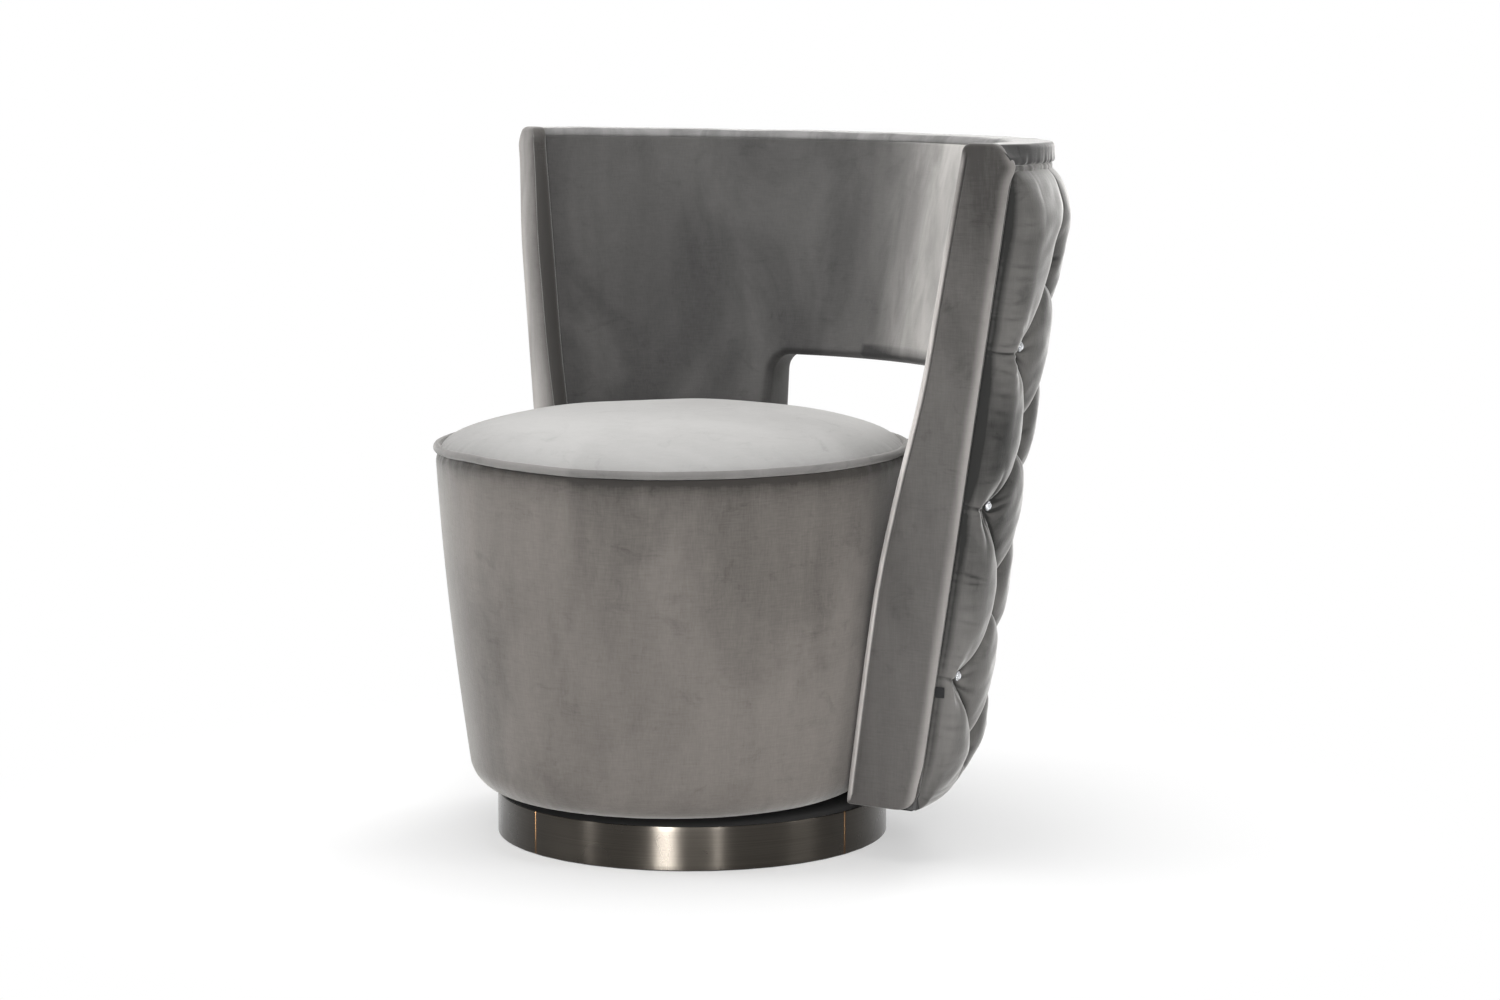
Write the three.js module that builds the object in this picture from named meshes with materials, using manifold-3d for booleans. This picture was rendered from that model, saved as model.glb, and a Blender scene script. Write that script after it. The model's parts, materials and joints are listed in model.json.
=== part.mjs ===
// A swivelling cuddle chair: a round upholstered drum seat on a low steel-banded plinth,
// held in the arms of a curved, button-tufted back with a window cut through it.
// Millimetres, +Z up. The origin lies on the floor on the swivel axis, and the chair faces -Y.
// The drum and the back are both round about one upright axis, a little in front of the swivel.
import * as THREE from 'three';
import { mergeVertices } from 'three/addons/utils/BufferGeometryUtils.js';
import Module from 'manifold-3d';

const wasm = await Module();
wasm.setup();

// Fits
const contactGap = 0.3;
const runningGap = 0.3;
const cutOverrun = 6;

// Facets
const roundSteps = 40;
const plateSteps = 32;
const boreSteps = 12;
const fixingSteps = 8;
const drumSideSteps = 4;
const ballSides = 8;
const drumCornerSteps = 4;
const crownSteps = 7;
const pipingSides = 6;
const topEdgeSteps = 3;
const flatShare = 1e-7;

// Plinth
const plinthRadius = 211;
const plinthHeight = 47;
const feltThickness = 2.5;
const plinthBoardThickness = 15;
const plinthBoardRecess = 1;
const spacerWidth = 42;
const bandThickness = 1.5;
const bandLift = 0.8;

// Swivel bearing
const plateThickness = 2.4;
const raceRadius = 100;
const raceDepth = 1;
const raceFloorWidth = 3;
const raceMouthWidth = 5.6;
const ballDiameter = 5;
const ballCount = 12;
const cageWidth = 12;
const cageThickness = 1.2;
const headClearance = 4;
const rivetRadius = 6;
const rivetHeadRadius = 11;
const rivetHeadThickness = 3;
const screwRadius = 2;
const screwHeadRadius = 4;
const screwHeadThickness = 2;
const screwLength = 12;
const plateBoltRadius = 3;
const plateBoltHeadRadius = 5.5;
const plateBoltHeadThickness = 2.2;
const plateBoltLength = 18;
const accessHoleMargin = 1.5;
const fixingCount = 4;

// Drum
const tubOffset = 28;
const drumTopRadius = 252.5;
const drumFootRadius = 214.5;
const drumBelly = 4;
const drumCornerRadius = 30;
const seatRimHeight = 417.4;
const drumCoverThickness = 8;
const drumEdgeRadius = 2.5;
const drumSkinThickness = 5;
const drumSkinDrop = 5;
const swivelBoardThickness = 18;
const swivelBoardLap = 6;
const baseBoardThickness = 15;
const postWidth = 60;
const postDepth = 22;
const postAngle = 50;
const deckDrop = 27.4;
const deckRingThickness = 18;
const deckRingWidth = 68;
const clothThickness = 0.8;
const clothMargin = 2;

// Webbing
const strapWidth = 60;
const strapThickness = 1.8;
const alongStrapCount = 3;
const alongStrapPitch = 90;
const acrossStrapCount = 2;
const acrossStrapPitch = 120;
const strapEndDrop = 25;
const strapEndMargin = 12;
const strapSteps = 18;

// Seat cushion
const pipingRadius = 4.3;
const pipingInset = 2;
const seatCrown = 39;
const seatCoverThickness = 3;
const crownRoundShare = 2.8;
const crownFullShare = 0.62;

// Back
const backHeight = 750;
const backEndAngle = 75;
const backClearance = 7.5;
const backFlare = 61.5;
const backFootThickness = 87;
const backTopThickness = 54.7;
const innerPadThickness = 12;
const innerSkinThickness = 5;
const outerSkinThickness = 4;
const outerPadBase = 12;
const endPadThickness = 12;
const topPadHeight = 19;
const topPadOverhang = 1.5;
const topEdgeRadius = 9;
const ribThickness = 18;
const railHeight = 22;

// Height on the back's inner face, and how much of the flare is reached there
const flareShares = [
  [0.40, 0.15],
  [0.667, 0.655],
  [1, 1],
];

// Padded end faces
const endTopCornerRadius = 20;
const endShoulder = 3;
const endShoulderDrop = 24;
const endPinchDrop = 45;
const endFootCornerRadius = 26;
const endPipingRadius = 2.5;
const footEdgeThickness = 4;

// Window
const windowHalfAngle = 27;
const windowTop = 492;
const windowBottom = 400;
const windowCornerRadius = 22;
const linerThickness = 8;
const windowCornerSteps = 4;

// Tufting: a button sits where a column and a row of unlike parity cross
const tuftAngle = 360 / 33;
const tuftPitch = 172;
const tuftTopHeight = 625;
const tuftLastColumn = 6;
const tuftLastRow = 6;
const tuftSwellTop = 24;
const tuftSwellFoot = 16;
const tuftRollWidth = 28;
const tuftRollSteps = 3;
const tuftCreaseShare = 0.3;
const tuftPuffShare = 0.45;
const tuftRowSteps = 2;

// Joints between the drum and the back
const battenWidth = 46;
const battenFoot = 85;
const battenHeight = 150;
const battenClearance = 0.6;
const backBoltRadius = 4;
const backBoltHeadRadius = 9;
const backBoltHeadThickness = 4;
const backBoltNutRadius = 7;
const backBoltNutThickness = 7;
const backBoltSpacing = 80;
const tabWidth = 10;
const tabHeight = 11;
const tabThickness = 0.8;
const tabDrop = 16;

// Finishes
const velvet = { color: 0x77716c, roughness: 0.78, metalness: 0 };
const velvetSeat = { color: 0xa39e99, roughness: 0.72, metalness: 0 };
const brushedSteel = { color: 0x8f8a85, roughness: 0.28, metalness: 1 };
const zincSteel = { color: 0xa9acb0, roughness: 0.42, metalness: 1 };
const polishedSteel = { color: 0xc6c8cb, roughness: 0.15, metalness: 1 };
const plywood = { color: 0xc29a68, roughness: 0.7, metalness: 0 };
const foam = { color: 0xe3dcc2, roughness: 0.95, metalness: 0 };
const webbing = { color: 0x3a3a3c, roughness: 0.85, metalness: 0 };
const blackCloth = { color: 0x17171a, roughness: 0.9, metalness: 0 };
const greyFelt = { color: 0x55555a, roughness: 0.95, metalness: 0 };

// Levels and radii that follow from the sizes above
const topBoardTop = plinthHeight - plinthBoardRecess;
const lowerPlateBase = topBoardTop + contactGap;
const lowerPlateTop = lowerPlateBase + plateThickness;
const ballCentre = lowerPlateTop - raceDepth + runningGap + ballDiameter / 2;
const upperPlateBase = ballCentre + ballDiameter / 2 + runningGap - raceDepth;
const upperPlateTop = upperPlateBase + plateThickness;
const plateBoltCircle = raceRadius - cageWidth / 2 - headClearance - plateBoltHeadRadius;
const screwCircle = raceRadius + cageWidth / 2 + headClearance + screwHeadRadius;
const plateBoltStart = 360 / fixingCount / 2;
const plateRadius = screwCircle + screwHeadRadius + headClearance;

const drumBase = upperPlateTop + contactGap;
const ledgeHeight = drumBase + swivelBoardThickness;
const swivelBoardRadius = drumFootRadius - drumCornerRadius - swivelBoardLap;
const baseBoardTop = ledgeHeight + contactGap + baseBoardThickness;
const skinTop = seatRimHeight - drumSkinDrop;
const deckHeight = seatRimHeight - deckDrop;
const deckRingRadius = drumSkinInner(deckHeight - deckRingThickness) - contactGap;

const strapSway = strapThickness + contactGap;
const weaveCentre = deckHeight + contactGap + strapThickness / 2 + strapSway;
const foamBase = weaveCentre + strapSway + strapThickness / 2 + contactGap;
const pipingRing = drumTopRadius - pipingInset;
const pipingHeight = seatRimHeight + contactGap + pipingRadius;
const seatCoverRadius = pipingRing - pipingRadius - contactGap;

const facetAngle = tuftAngle / 2;
const topPadBase = backHeight - topPadHeight;
const shellTop = topPadBase - contactGap;
const backFoot = borderRadius(drumBase);
const endPadAngle = degrees(endPadThickness / ((shellInner(drumBase) + borderRadius(backHeight)) / 2));
const endPadBackAngle = backEndAngle - endPadAngle;
const shellEndAngle = endPadBackAngle - degrees(contactGap / shellInner(drumBase));
const pipingGroove = endPipingRadius + endPipingRadius + contactGap + contactGap;
const outerPadEndAngle = shellEndAngle - degrees(pipingGroove / backFoot);
const windowRadius = (shellInner(windowTop) + borderRadius(windowTop)) / 2;

function degrees(radians) {
  return THREE.MathUtils.radToDeg(radians);
}

function radians(angle) {
  return THREE.MathUtils.degToRad(angle);
}

// The drum's straight cone, carried on above the seat, where the back still follows it
function coneRadius(height) {
  const share = (height - drumBase) / (seatRimHeight - drumBase);
  return drumFootRadius + (drumTopRadius - drumFootRadius) * share;
}

// The drum's side, which bellies out a little between the plinth and the seat
function drumWall(height) {
  const along = (height - drumBase) / (seatRimHeight - drumBase) * drumSideSteps;
  const step = THREE.MathUtils.clamp(Math.floor(along), 0, drumSideSteps - 1);
  const [from, to] = [step, step + 1].map((knee) => Math.sin(Math.PI * knee / drumSideSteps));
  return coneRadius(height) + drumBelly * THREE.MathUtils.lerp(from, to, along - step);
}

// Heights at which the drum's side changes slope, between two heights
function drumHeights(from, to) {
  const knees = evenly(drumBase, seatRimHeight, drumSideSteps);
  return [from, ...knees.filter((height) => height > from && height < to), to];
}

function evenly(from, to, steps) {
  return Array.from({ length: steps + 1 }, (_, step) => from + (to - from) * step / steps);
}

function drumSkinInner(height) {
  return drumWall(height) - drumCoverThickness - contactGap - drumSkinThickness;
}

// A value from a table of [position share, value share], starting from nothing at `start`
function tableShare(shares, start, position) {
  let [fromPosition, fromValue] = [start, 0];
  for (const [toPosition, toValue] of shares) {
    if (position <= toPosition) {
      const along = (position - fromPosition) / (toPosition - fromPosition);
      return fromValue + (toValue - fromValue) * Math.max(along, 0);
    }
    [fromPosition, fromValue] = [toPosition, toValue];
  }
  return fromValue;
}

// The velvet face that the sitter leans on
function shellInner(height) {
  const flare = tableShare(flareShares, drumBase / backHeight, height / backHeight);
  return coneRadius(height) + backClearance + backFlare * flare;
}

// The straight outer edge of the back, level with the border of the tufting
function borderRadius(height) {
  const foot = shellInner(drumBase) + backFootThickness;
  const top = shellInner(backHeight) + backTopThickness;
  return foot + (top - foot) * (height - drumBase) / (backHeight - drumBase);
}

// Heights at which the inner face changes slope, between two heights
function shellHeights(from, to) {
  const knees = flareShares.map(([share]) => share * backHeight);
  return [from, ...knees.filter((height) => height > from && height < to), to];
}

// A point on the faceted round of the back; angle 0 is straight behind the sitter
function onShell(angle, radius, height) {
  const facet = Math.floor(angle / facetAngle);
  const along = angle / facetAngle - facet;
  const from = radians(facet * facetAngle);
  const to = radians((facet + 1) * facetAngle);
  const x = Math.sin(from) * (1 - along) + Math.sin(to) * along;
  const y = Math.cos(from) * (1 - along) + Math.cos(to) * along;
  return new THREE.Vector3(radius * x, radius * y, height);
}

// Facet angles between two ends
function facetAngles(from, to) {
  const angles = [from];
  for (let facet = Math.ceil(from / facetAngle); facet * facetAngle < to; facet += 1) {
    if (facet * facetAngle > from) {
      angles.push(facet * facetAngle);
    }
  }
  return [...angles, to];
}

// Turns a triangle list outwards and makes it a geometry
function solidGeometry(points, triangles) {
  const volume = triangles.reduce((sum, [a, b, c]) => {
    return sum + points[a].dot(points[b].clone().cross(points[c]));
  }, 0);
  const facing = volume < 0 ? triangles.map(([a, b, c]) => [a, c, b]) : triangles;
  const geometry = new THREE.BufferGeometry();
  const positions = points.flatMap((point) => point.toArray());
  geometry.setAttribute('position', new THREE.Float32BufferAttribute(positions, 3));
  geometry.setIndex(facing.flat());
  return geometry;
}

// How well shaped the corner b of a flat outline is, or nothing where it can't be cut off
function cornerShape(points, [a, b, c], facing) {
  const [p, q, r] = [points[a], points[b], points[c]];
  const area = facing * (q.clone().sub(p)).cross(r.clone().sub(q));
  const longest = Math.max(p.distanceToSquared(q), q.distanceToSquared(r), r.distanceToSquared(p));
  const shape = area / longest;
  const sides = [[p, q], [q, r], [r, p]];
  const covers = (point) => sides.every(([from, to]) => {
    return facing * to.clone().sub(from).cross(point.clone().sub(from)) > -flatShare * longest;
  });
  const blocked = points.some((point, i) => ![a, b, c].includes(i) && covers(point));
  return shape > flatShare && !blocked ? shape : 0;
}

// Splits a flat outline into triangles that use every point, cutting the best-shaped corner first
function capTriangles(points) {
  const facing = THREE.ShapeUtils.area(points) > 0 ? 1 : -1;
  const left = points.map((_, i) => i);
  const triangles = [];
  while (left.length > 3) {
    const corners = left.map((b, k) => [left.at(k - 1), b, left[(k + 1) % left.length]]);
    const shapes = corners.map((corner) => cornerShape(points, corner, facing));
    const best = shapes.indexOf(Math.max(...shapes));
    triangles.push(corners[best]);
    left.splice(best, 1);
  }
  return [...triangles, left];
}

// Splits a four-sided face along the diagonal nearer the axis, so that a pleat stays a clean valley
function splitQuad(points, a, b, c, d) {
  const reach = (i, j) => Math.hypot(points[i].x + points[j].x, points[i].y + points[j].y);
  return reach(b, d) < reach(a, c) ? [[a, b, d], [b, c, d]] : [[a, b, c], [a, c, d]];
}

// Skins a row of closed rings of points, with the flat outline of one ring to close both ends
function loft(rings, cap) {
  const size = cap.length;
  const points = rings.flat();
  const triangles = [];
  for (let ring = 0; ring < rings.length - 1; ring += 1) {
    for (let side = 0; side < size; side += 1) {
      const next = (side + 1) % size;
      const [a, b] = [ring * size + side, ring * size + next];
      triangles.push(...splitQuad(points, a, b, b + size, a + size));
    }
  }
  const last = (rings.length - 1) * size;
  for (const [a, b, c] of capTriangles(cap)) {
    triangles.push([b, a, c], [last + a, last + b, last + c]);
  }
  return solidGeometry(points, triangles);
}

// Carries a closed outline of (radius, height) round the back from one angle to another
function sweepRound(section, from, to) {
  const rings = facetAngles(from, to).map((angle) => section.map((p) => onShell(angle, p.x, p.y)));
  return loft(rings, section);
}

// An outline of (radius, height) between two faces of the back
function layerOutline(innerFace, outerFace, from, to, innerHeights = shellHeights) {
  const inner = innerHeights(from, to).map((height) => new THREE.Vector2(innerFace(height), height));
  const outer = shellHeights(from, to).map((height) => new THREE.Vector2(outerFace(height), height));
  return bendsOnly([...inner, ...outer.reverse()]);
}

// Leaves out the points of an outline that lie on a straight run
function bendsOnly(points) {
  return points.filter((point, i) => {
    const before = point.clone().sub(points.at(i - 1));
    const after = points[(i + 1) % points.length].clone().sub(point);
    return Math.abs(before.cross(after)) > flatShare * before.length() * after.length();
  });
}

// A full turn of a closed outline of (radius, height)
function turn(section, steps = roundSteps) {
  const geometry = new THREE.LatheGeometry([...section, section[0].clone()], steps);
  geometry.rotateX(Math.PI / 2);
  return outwards(geometry);
}

function outline(...pairs) {
  return pairs.map(([radius, height]) => new THREE.Vector2(radius, height));
}

// Corner points of a quarter round, from one direction to another, both in degrees
function arcPoints(x, y, radius, from, to, steps) {
  return Array.from({ length: steps + 1 }, (_, step) => {
    const angle = radians(from + (to - from) * step / steps);
    return new THREE.Vector2(x + radius * Math.cos(angle), y + radius * Math.sin(angle));
  });
}

function welded(geometry) {
  const bare = geometry.clone();
  bare.deleteAttribute('normal');
  bare.deleteAttribute('uv');
  return mergeVertices(bare);
}

function outwards(geometry) {
  const bare = welded(geometry);
  const { position } = bare.attributes;
  const points = Array.from({ length: position.count }, (_, i) => {
    return new THREE.Vector3().fromBufferAttribute(position, i);
  });
  const triangles = [];
  for (let i = 0; i < bare.index.count; i += 3) {
    const corners = [bare.index.getX(i), bare.index.getX(i + 1), bare.index.getX(i + 2)];
    if (new Set(corners).size === 3) {
      triangles.push(corners);
    }
  }
  return solidGeometry(points, triangles);
}

function toManifold(geometry) {
  const bare = welded(geometry);
  const vertProperties = new Float32Array(bare.attributes.position.array);
  const triVerts = new Uint32Array(bare.index.array);
  return new wasm.Manifold(new wasm.Mesh({ numProp: 3, vertProperties, triVerts }));
}

function fromManifold(manifold) {
  const mesh = manifold.getMesh();
  const geometry = new THREE.BufferGeometry();
  geometry.setAttribute('position', new THREE.Float32BufferAttribute(mesh.vertProperties, 3));
  geometry.setIndex([...mesh.triVerts]);
  return geometry;
}

function cut(geometry, ...cutters) {
  const whole = toManifold(geometry);
  return fromManifold(cutters.reduce((body, cutter) => body.subtract(toManifold(cutter)), whole));
}

function common(geometry, other) {
  return fromManifold(toManifold(geometry).intersect(toManifold(other)));
}

function join(geometry, ...others) {
  const first = toManifold(geometry);
  return fromManifold(others.reduce((body, other) => body.add(toManifold(other)), first));
}

// A round disc or ring between two heights
function ring(inner, outer, base, top, steps = roundSteps) {
  if (inner > 0) {
    return turn(outline([inner, base], [outer, base], [outer, top], [inner, top]), steps);
  }
  return turn(outline([0, base], [outer, base], [outer, top], [0, top]), steps);
}

// Upright cutters or fixings, evenly spaced on a circle; the first lies at `start` degrees
function aroundCircle(count, circle, start, make) {
  return Array.from({ length: count }, (_, i) => {
    const angle = radians(start + 360 * i / count);
    const piece = make();
    piece.translate(circle * Math.sin(angle), circle * Math.cos(angle), 0);
    return piece;
  });
}

const group = new THREE.Group();
const tub = new THREE.Group();
tub.position.y = -tubOffset;
group.add(tub);

function place(parent, name, geometry, finish) {
  const mesh = new THREE.Mesh(geometry, new THREE.MeshStandardMaterial(finish));
  mesh.name = name;
  mesh.geometry.computeVertexNormals();
  parent.add(mesh);
  return mesh;
}

// Plinth: two boards and a spacer ring on a felt pad, wrapped in a bright steel band
function addPlinth() {
  const boardRadius = plinthRadius - bandThickness - contactGap;
  const bottomBoardBase = feltThickness + contactGap;
  const bottomBoardTop = bottomBoardBase + plinthBoardThickness;
  const topBoardBase = topBoardTop - plinthBoardThickness;
  const pilot = () => ring(0, screwRadius + contactGap, topBoardBase - cutOverrun, topBoardTop + cutOverrun,
    fixingSteps);
  const access = () => ring(0, accessRadius(), topBoardBase - cutOverrun, topBoardTop + cutOverrun,
    boreSteps);
  const rivetPocket = ring(0, rivetHeadRadius + clothMargin, topBoardBase - cutOverrun,
    topBoardTop + cutOverrun, boreSteps);
  const topBoard = cut(ring(0, boardRadius, topBoardBase, topBoardTop), rivetPocket,
    ...aroundCircle(fixingCount, screwCircle, 0, pilot),
    ...aroundCircle(fixingCount, plateBoltCircle, plateBoltStart, access));
  place(group, 'floor_felt', ring(0, boardRadius, 0, feltThickness), greyFelt);
  place(group, 'plinth_bottom_board', ring(0, boardRadius, bottomBoardBase, bottomBoardTop), plywood);
  place(group, 'plinth_spacer_ring', ring(boardRadius - spacerWidth, boardRadius,
    bottomBoardTop + contactGap, topBoardBase - contactGap), plywood);
  place(group, 'plinth_top_board', topBoard, plywood);
  place(group, 'plinth_band', plinthBand(), brushedSteel);
}

function accessRadius() {
  return plateBoltHeadRadius + accessHoleMargin;
}

// The band's long edges are rolled over slightly, as bent sheet is
function plinthBand() {
  const inner = plinthRadius - bandThickness;
  const roll = bandThickness / 2;
  return turn(outline([inner, bandLift], [plinthRadius - roll, bandLift], [plinthRadius, bandLift + roll],
    [plinthRadius, plinthHeight - roll], [plinthRadius - roll, plinthHeight], [inner, plinthHeight]));
}

// One pressed plate of the swivel, with a race rolled into the face that the balls run on
function swivelPlate(base, raceFace, bore) {
  const [floorHalf, mouthHalf] = [raceFloorWidth / 2, raceMouthWidth / 2];
  const other = raceFace > base ? base : base + plateThickness;
  const raceFloor = raceFace > base ? raceFace - raceDepth : raceFace + raceDepth;
  return turn(outline([bore, other], [plateRadius, other], [plateRadius, raceFace],
    [raceRadius + mouthHalf, raceFace], [raceRadius + floorHalf, raceFloor],
    [raceRadius - floorHalf, raceFloor], [raceRadius - mouthHalf, raceFace], [bore, raceFace]), plateSteps);
}

// A fixing standing on Z: a shank from zero down to -length, and a round head on top
function fixing(shankRadius, length, headRadius, headThickness, steps) {
  const rim = headThickness / 3;
  return turn(outline([0, -length], [shankRadius, -length], [shankRadius, 0], [headRadius, 0],
    [headRadius, headThickness - rim], [headRadius - rim, headThickness], [0, headThickness]), steps);
}

function addSwivel() {
  const screwHole = () => ring(0, screwRadius + contactGap, lowerPlateBase - cutOverrun,
    lowerPlateTop + cutOverrun, fixingSteps);
  const access = () => ring(0, accessRadius(), lowerPlateBase - cutOverrun, lowerPlateTop + cutOverrun,
    boreSteps);
  const boltHole = () => ring(0, plateBoltRadius + contactGap, upperPlateBase - cutOverrun,
    upperPlateTop + cutOverrun, fixingSteps);
  const lowerPlate = cut(swivelPlate(lowerPlateBase, lowerPlateTop, rivetRadius + contactGap),
    ...aroundCircle(fixingCount, screwCircle, 0, screwHole),
    ...aroundCircle(fixingCount, plateBoltCircle, plateBoltStart, access));
  const upperPlate = cut(swivelPlate(upperPlateBase, upperPlateBase, rivetRadius + runningGap + contactGap),
    ...aroundCircle(fixingCount, plateBoltCircle, plateBoltStart, boltHole));
  place(group, 'swivel_lower_plate', lowerPlate, zincSteel);
  place(group, 'swivel_upper_plate', upperPlate, zincSteel);
  place(group, 'ball_cage', ballCage(), polishedSteel);
  place(group, 'pivot_rivet', pivotRivet(), zincSteel);

  const screws = aroundCircle(fixingCount, screwCircle, 0, () => {
    const screw = fixing(screwRadius, screwLength, screwHeadRadius, screwHeadThickness, fixingSteps);
    return screw.translate(0, 0, lowerPlateTop + contactGap);
  });
  const bolts = aroundCircle(fixingCount, plateBoltCircle, plateBoltStart, () => {
    const bolt = fixing(plateBoltRadius, plateBoltLength, plateBoltHeadRadius, plateBoltHeadThickness,
      fixingSteps);
    return bolt.rotateX(Math.PI).translate(0, 0, upperPlateBase - contactGap);
  });
  screws.forEach((screw, i) => place(group, `lower_plate_screw_${i + 1}`, screw, zincSteel));
  bolts.forEach((bolt, i) => place(group, `upper_plate_bolt_${i + 1}`, bolt, zincSteel));
}

// The flat cage with its balls, which rolls round at half the seat's speed
function ballCage() {
  const cage = ring(raceRadius - cageWidth / 2, raceRadius + cageWidth / 2,
    ballCentre - cageThickness / 2, ballCentre + cageThickness / 2, plateSteps);
  const balls = aroundCircle(ballCount, raceRadius, 0, () => {
    return new THREE.SphereGeometry(ballDiameter / 2, ballSides, ballSides / 2).translate(0, 0, ballCentre);
  });
  return join(cage, ...balls);
}

// The rivet that keeps the two plates together and centres them
function pivotRivet() {
  const lowerHeadTop = lowerPlateBase - contactGap;
  const upperHeadBase = upperPlateTop + runningGap;
  const rim = rivetHeadThickness / 3;
  return turn(outline([0, lowerHeadTop - rivetHeadThickness],
    [rivetHeadRadius - rim, lowerHeadTop - rivetHeadThickness],
    [rivetHeadRadius, lowerHeadTop - rivetHeadThickness + rim], [rivetHeadRadius, lowerHeadTop],
    [rivetRadius, lowerHeadTop], [rivetRadius, upperHeadBase], [rivetHeadRadius, upperHeadBase],
    [rivetHeadRadius, upperHeadBase + rivetHeadThickness - rim],
    [rivetHeadRadius - rim, upperHeadBase + rivetHeadThickness],
    [0, upperHeadBase + rivetHeadThickness]), boreSteps);
}

// Drum frame: a stepped double board, four posts, a deck ring and a bent skin
function addDrumFrame() {
  place(tub, 'drum_bottom_board', drumBottomBoard(), plywood);
  drumPosts().forEach((post, i) => place(tub, `drum_post_${i + 1}`, post, plywood));
  const deckRing = ring(deckRingRadius - deckRingWidth, deckRingRadius, deckHeight - deckRingThickness,
    deckHeight);
  place(tub, 'drum_deck_ring', deckRing, plywood);
  place(tub, 'drum_skin', cut(drumSkin(), ...backBoltHoles()), plywood);
  place(tub, 'drum_dust_cloth', ring(plateRadius + tubOffset + clothMargin, swivelBoardRadius + clothMargin,
    drumBase - contactGap - clothThickness, drumBase - contactGap, plateSteps), blackCloth);
}

// The lower disc carries the swivel; the wider one above it carries the posts and the skin
function drumBottomBoard() {
  const baseBoardRadius = drumSkinInner(ledgeHeight) - contactGap;
  const baseBoardBase = ledgeHeight + contactGap;
  const board = turn(outline([0, drumBase], [swivelBoardRadius, drumBase],
    [swivelBoardRadius, baseBoardBase], [baseBoardRadius, baseBoardBase],
    [baseBoardRadius, baseBoardTop], [0, baseBoardTop]));
  const rivetPocket = ring(0, rivetHeadRadius + clothMargin, drumBase - cutOverrun,
    baseBoardTop + cutOverrun, boreSteps);
  const boltHoles = aroundCircle(fixingCount, plateBoltCircle, plateBoltStart, () => {
    return ring(0, plateBoltRadius + contactGap, drumBase - cutOverrun, drumBase + plateBoltLength,
      fixingSteps);
  });
  return cut(board, ...[rivetPocket, ...boltHoles].map((tool) => tool.translate(0, tubOffset, 0)));
}

// How far out a post's face can stand with its corners inside the skin's facets
function postReach() {
  const skin = drumSkinInner(baseBoardTop) * Math.cos(Math.PI / roundSteps);
  return Math.sqrt((skin - contactGap) ** 2 - (postWidth / 2) ** 2);
}

function drumPosts() {
  const foot = baseBoardTop + contactGap;
  const head = deckHeight - deckRingThickness - contactGap;
  const reach = postReach();
  return [postAngle, 180 - postAngle, 180 + postAngle, -postAngle].map((angle) => {
    const post = new THREE.BoxGeometry(postWidth, postDepth, head - foot);
    post.translate(0, reach - postDepth / 2, (foot + head) / 2);
    post.rotateZ(-radians(angle));
    return cut(post, ...backBoltHoles());
  });
}

function drumSkin() {
  const heights = drumHeights(ledgeHeight + contactGap, skinTop);
  const inner = heights.map((height) => [drumSkinInner(height), height]);
  const outer = heights.map((height) => [drumSkinInner(height) + drumSkinThickness, height]);
  return turn(outline(...inner, ...outer.reverse()));
}

// Velvet over wadding, from the turned-under foot to the rim below the seat piping
function drumCover() {
  const cornerTop = drumBase + drumCornerRadius;
  const corner = arcPoints(0, cornerTop, drumCornerRadius, -90, 0, drumCornerSteps).map((point) => {
    return new THREE.Vector2(drumWall(point.y) - drumCornerRadius + point.x, point.y);
  });
  const side = drumHeights(cornerTop, seatRimHeight - drumEdgeRadius).slice(1).map((height) => {
    return new THREE.Vector2(drumWall(height), height);
  });
  const rim = outline([drumWall(seatRimHeight) - drumEdgeRadius, seatRimHeight],
    [drumWall(seatRimHeight) - drumCoverThickness, seatRimHeight]);
  const liner = drumHeights(ledgeHeight, seatRimHeight).slice(0, -1).map((height) => {
    return new THREE.Vector2(drumWall(height) - drumCoverThickness, height);
  });
  const footInner = swivelBoardRadius + contactGap;
  const foot = outline([footInner, ledgeHeight], [footInner, drumBase]);
  return turn([...corner, ...side, ...rim, ...liner.reverse(), ...foot]);
}

// Woven elastic straps across the deck ring; each passes over and under the straps that it meets
function addWebbing() {
  const runs = [
    { name: 'seat_strap_along', count: alongStrapCount, pitch: alongStrapPitch, turned: Math.PI / 2,
      crossings: acrossStrapCount, crossingPitch: acrossStrapPitch, lift: 1 },
    { name: 'seat_strap_across', count: acrossStrapCount, pitch: acrossStrapPitch, turned: 0,
      crossings: alongStrapCount, crossingPitch: alongStrapPitch, lift: -1 },
  ];
  for (const run of runs) {
    for (let i = 0; i < run.count; i += 1) {
      const strap = wovenStrap(run, i).rotateZ(run.turned);
      place(tub, `${run.name}_${i + 1}`, strap, webbing);
    }
  }
}

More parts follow.
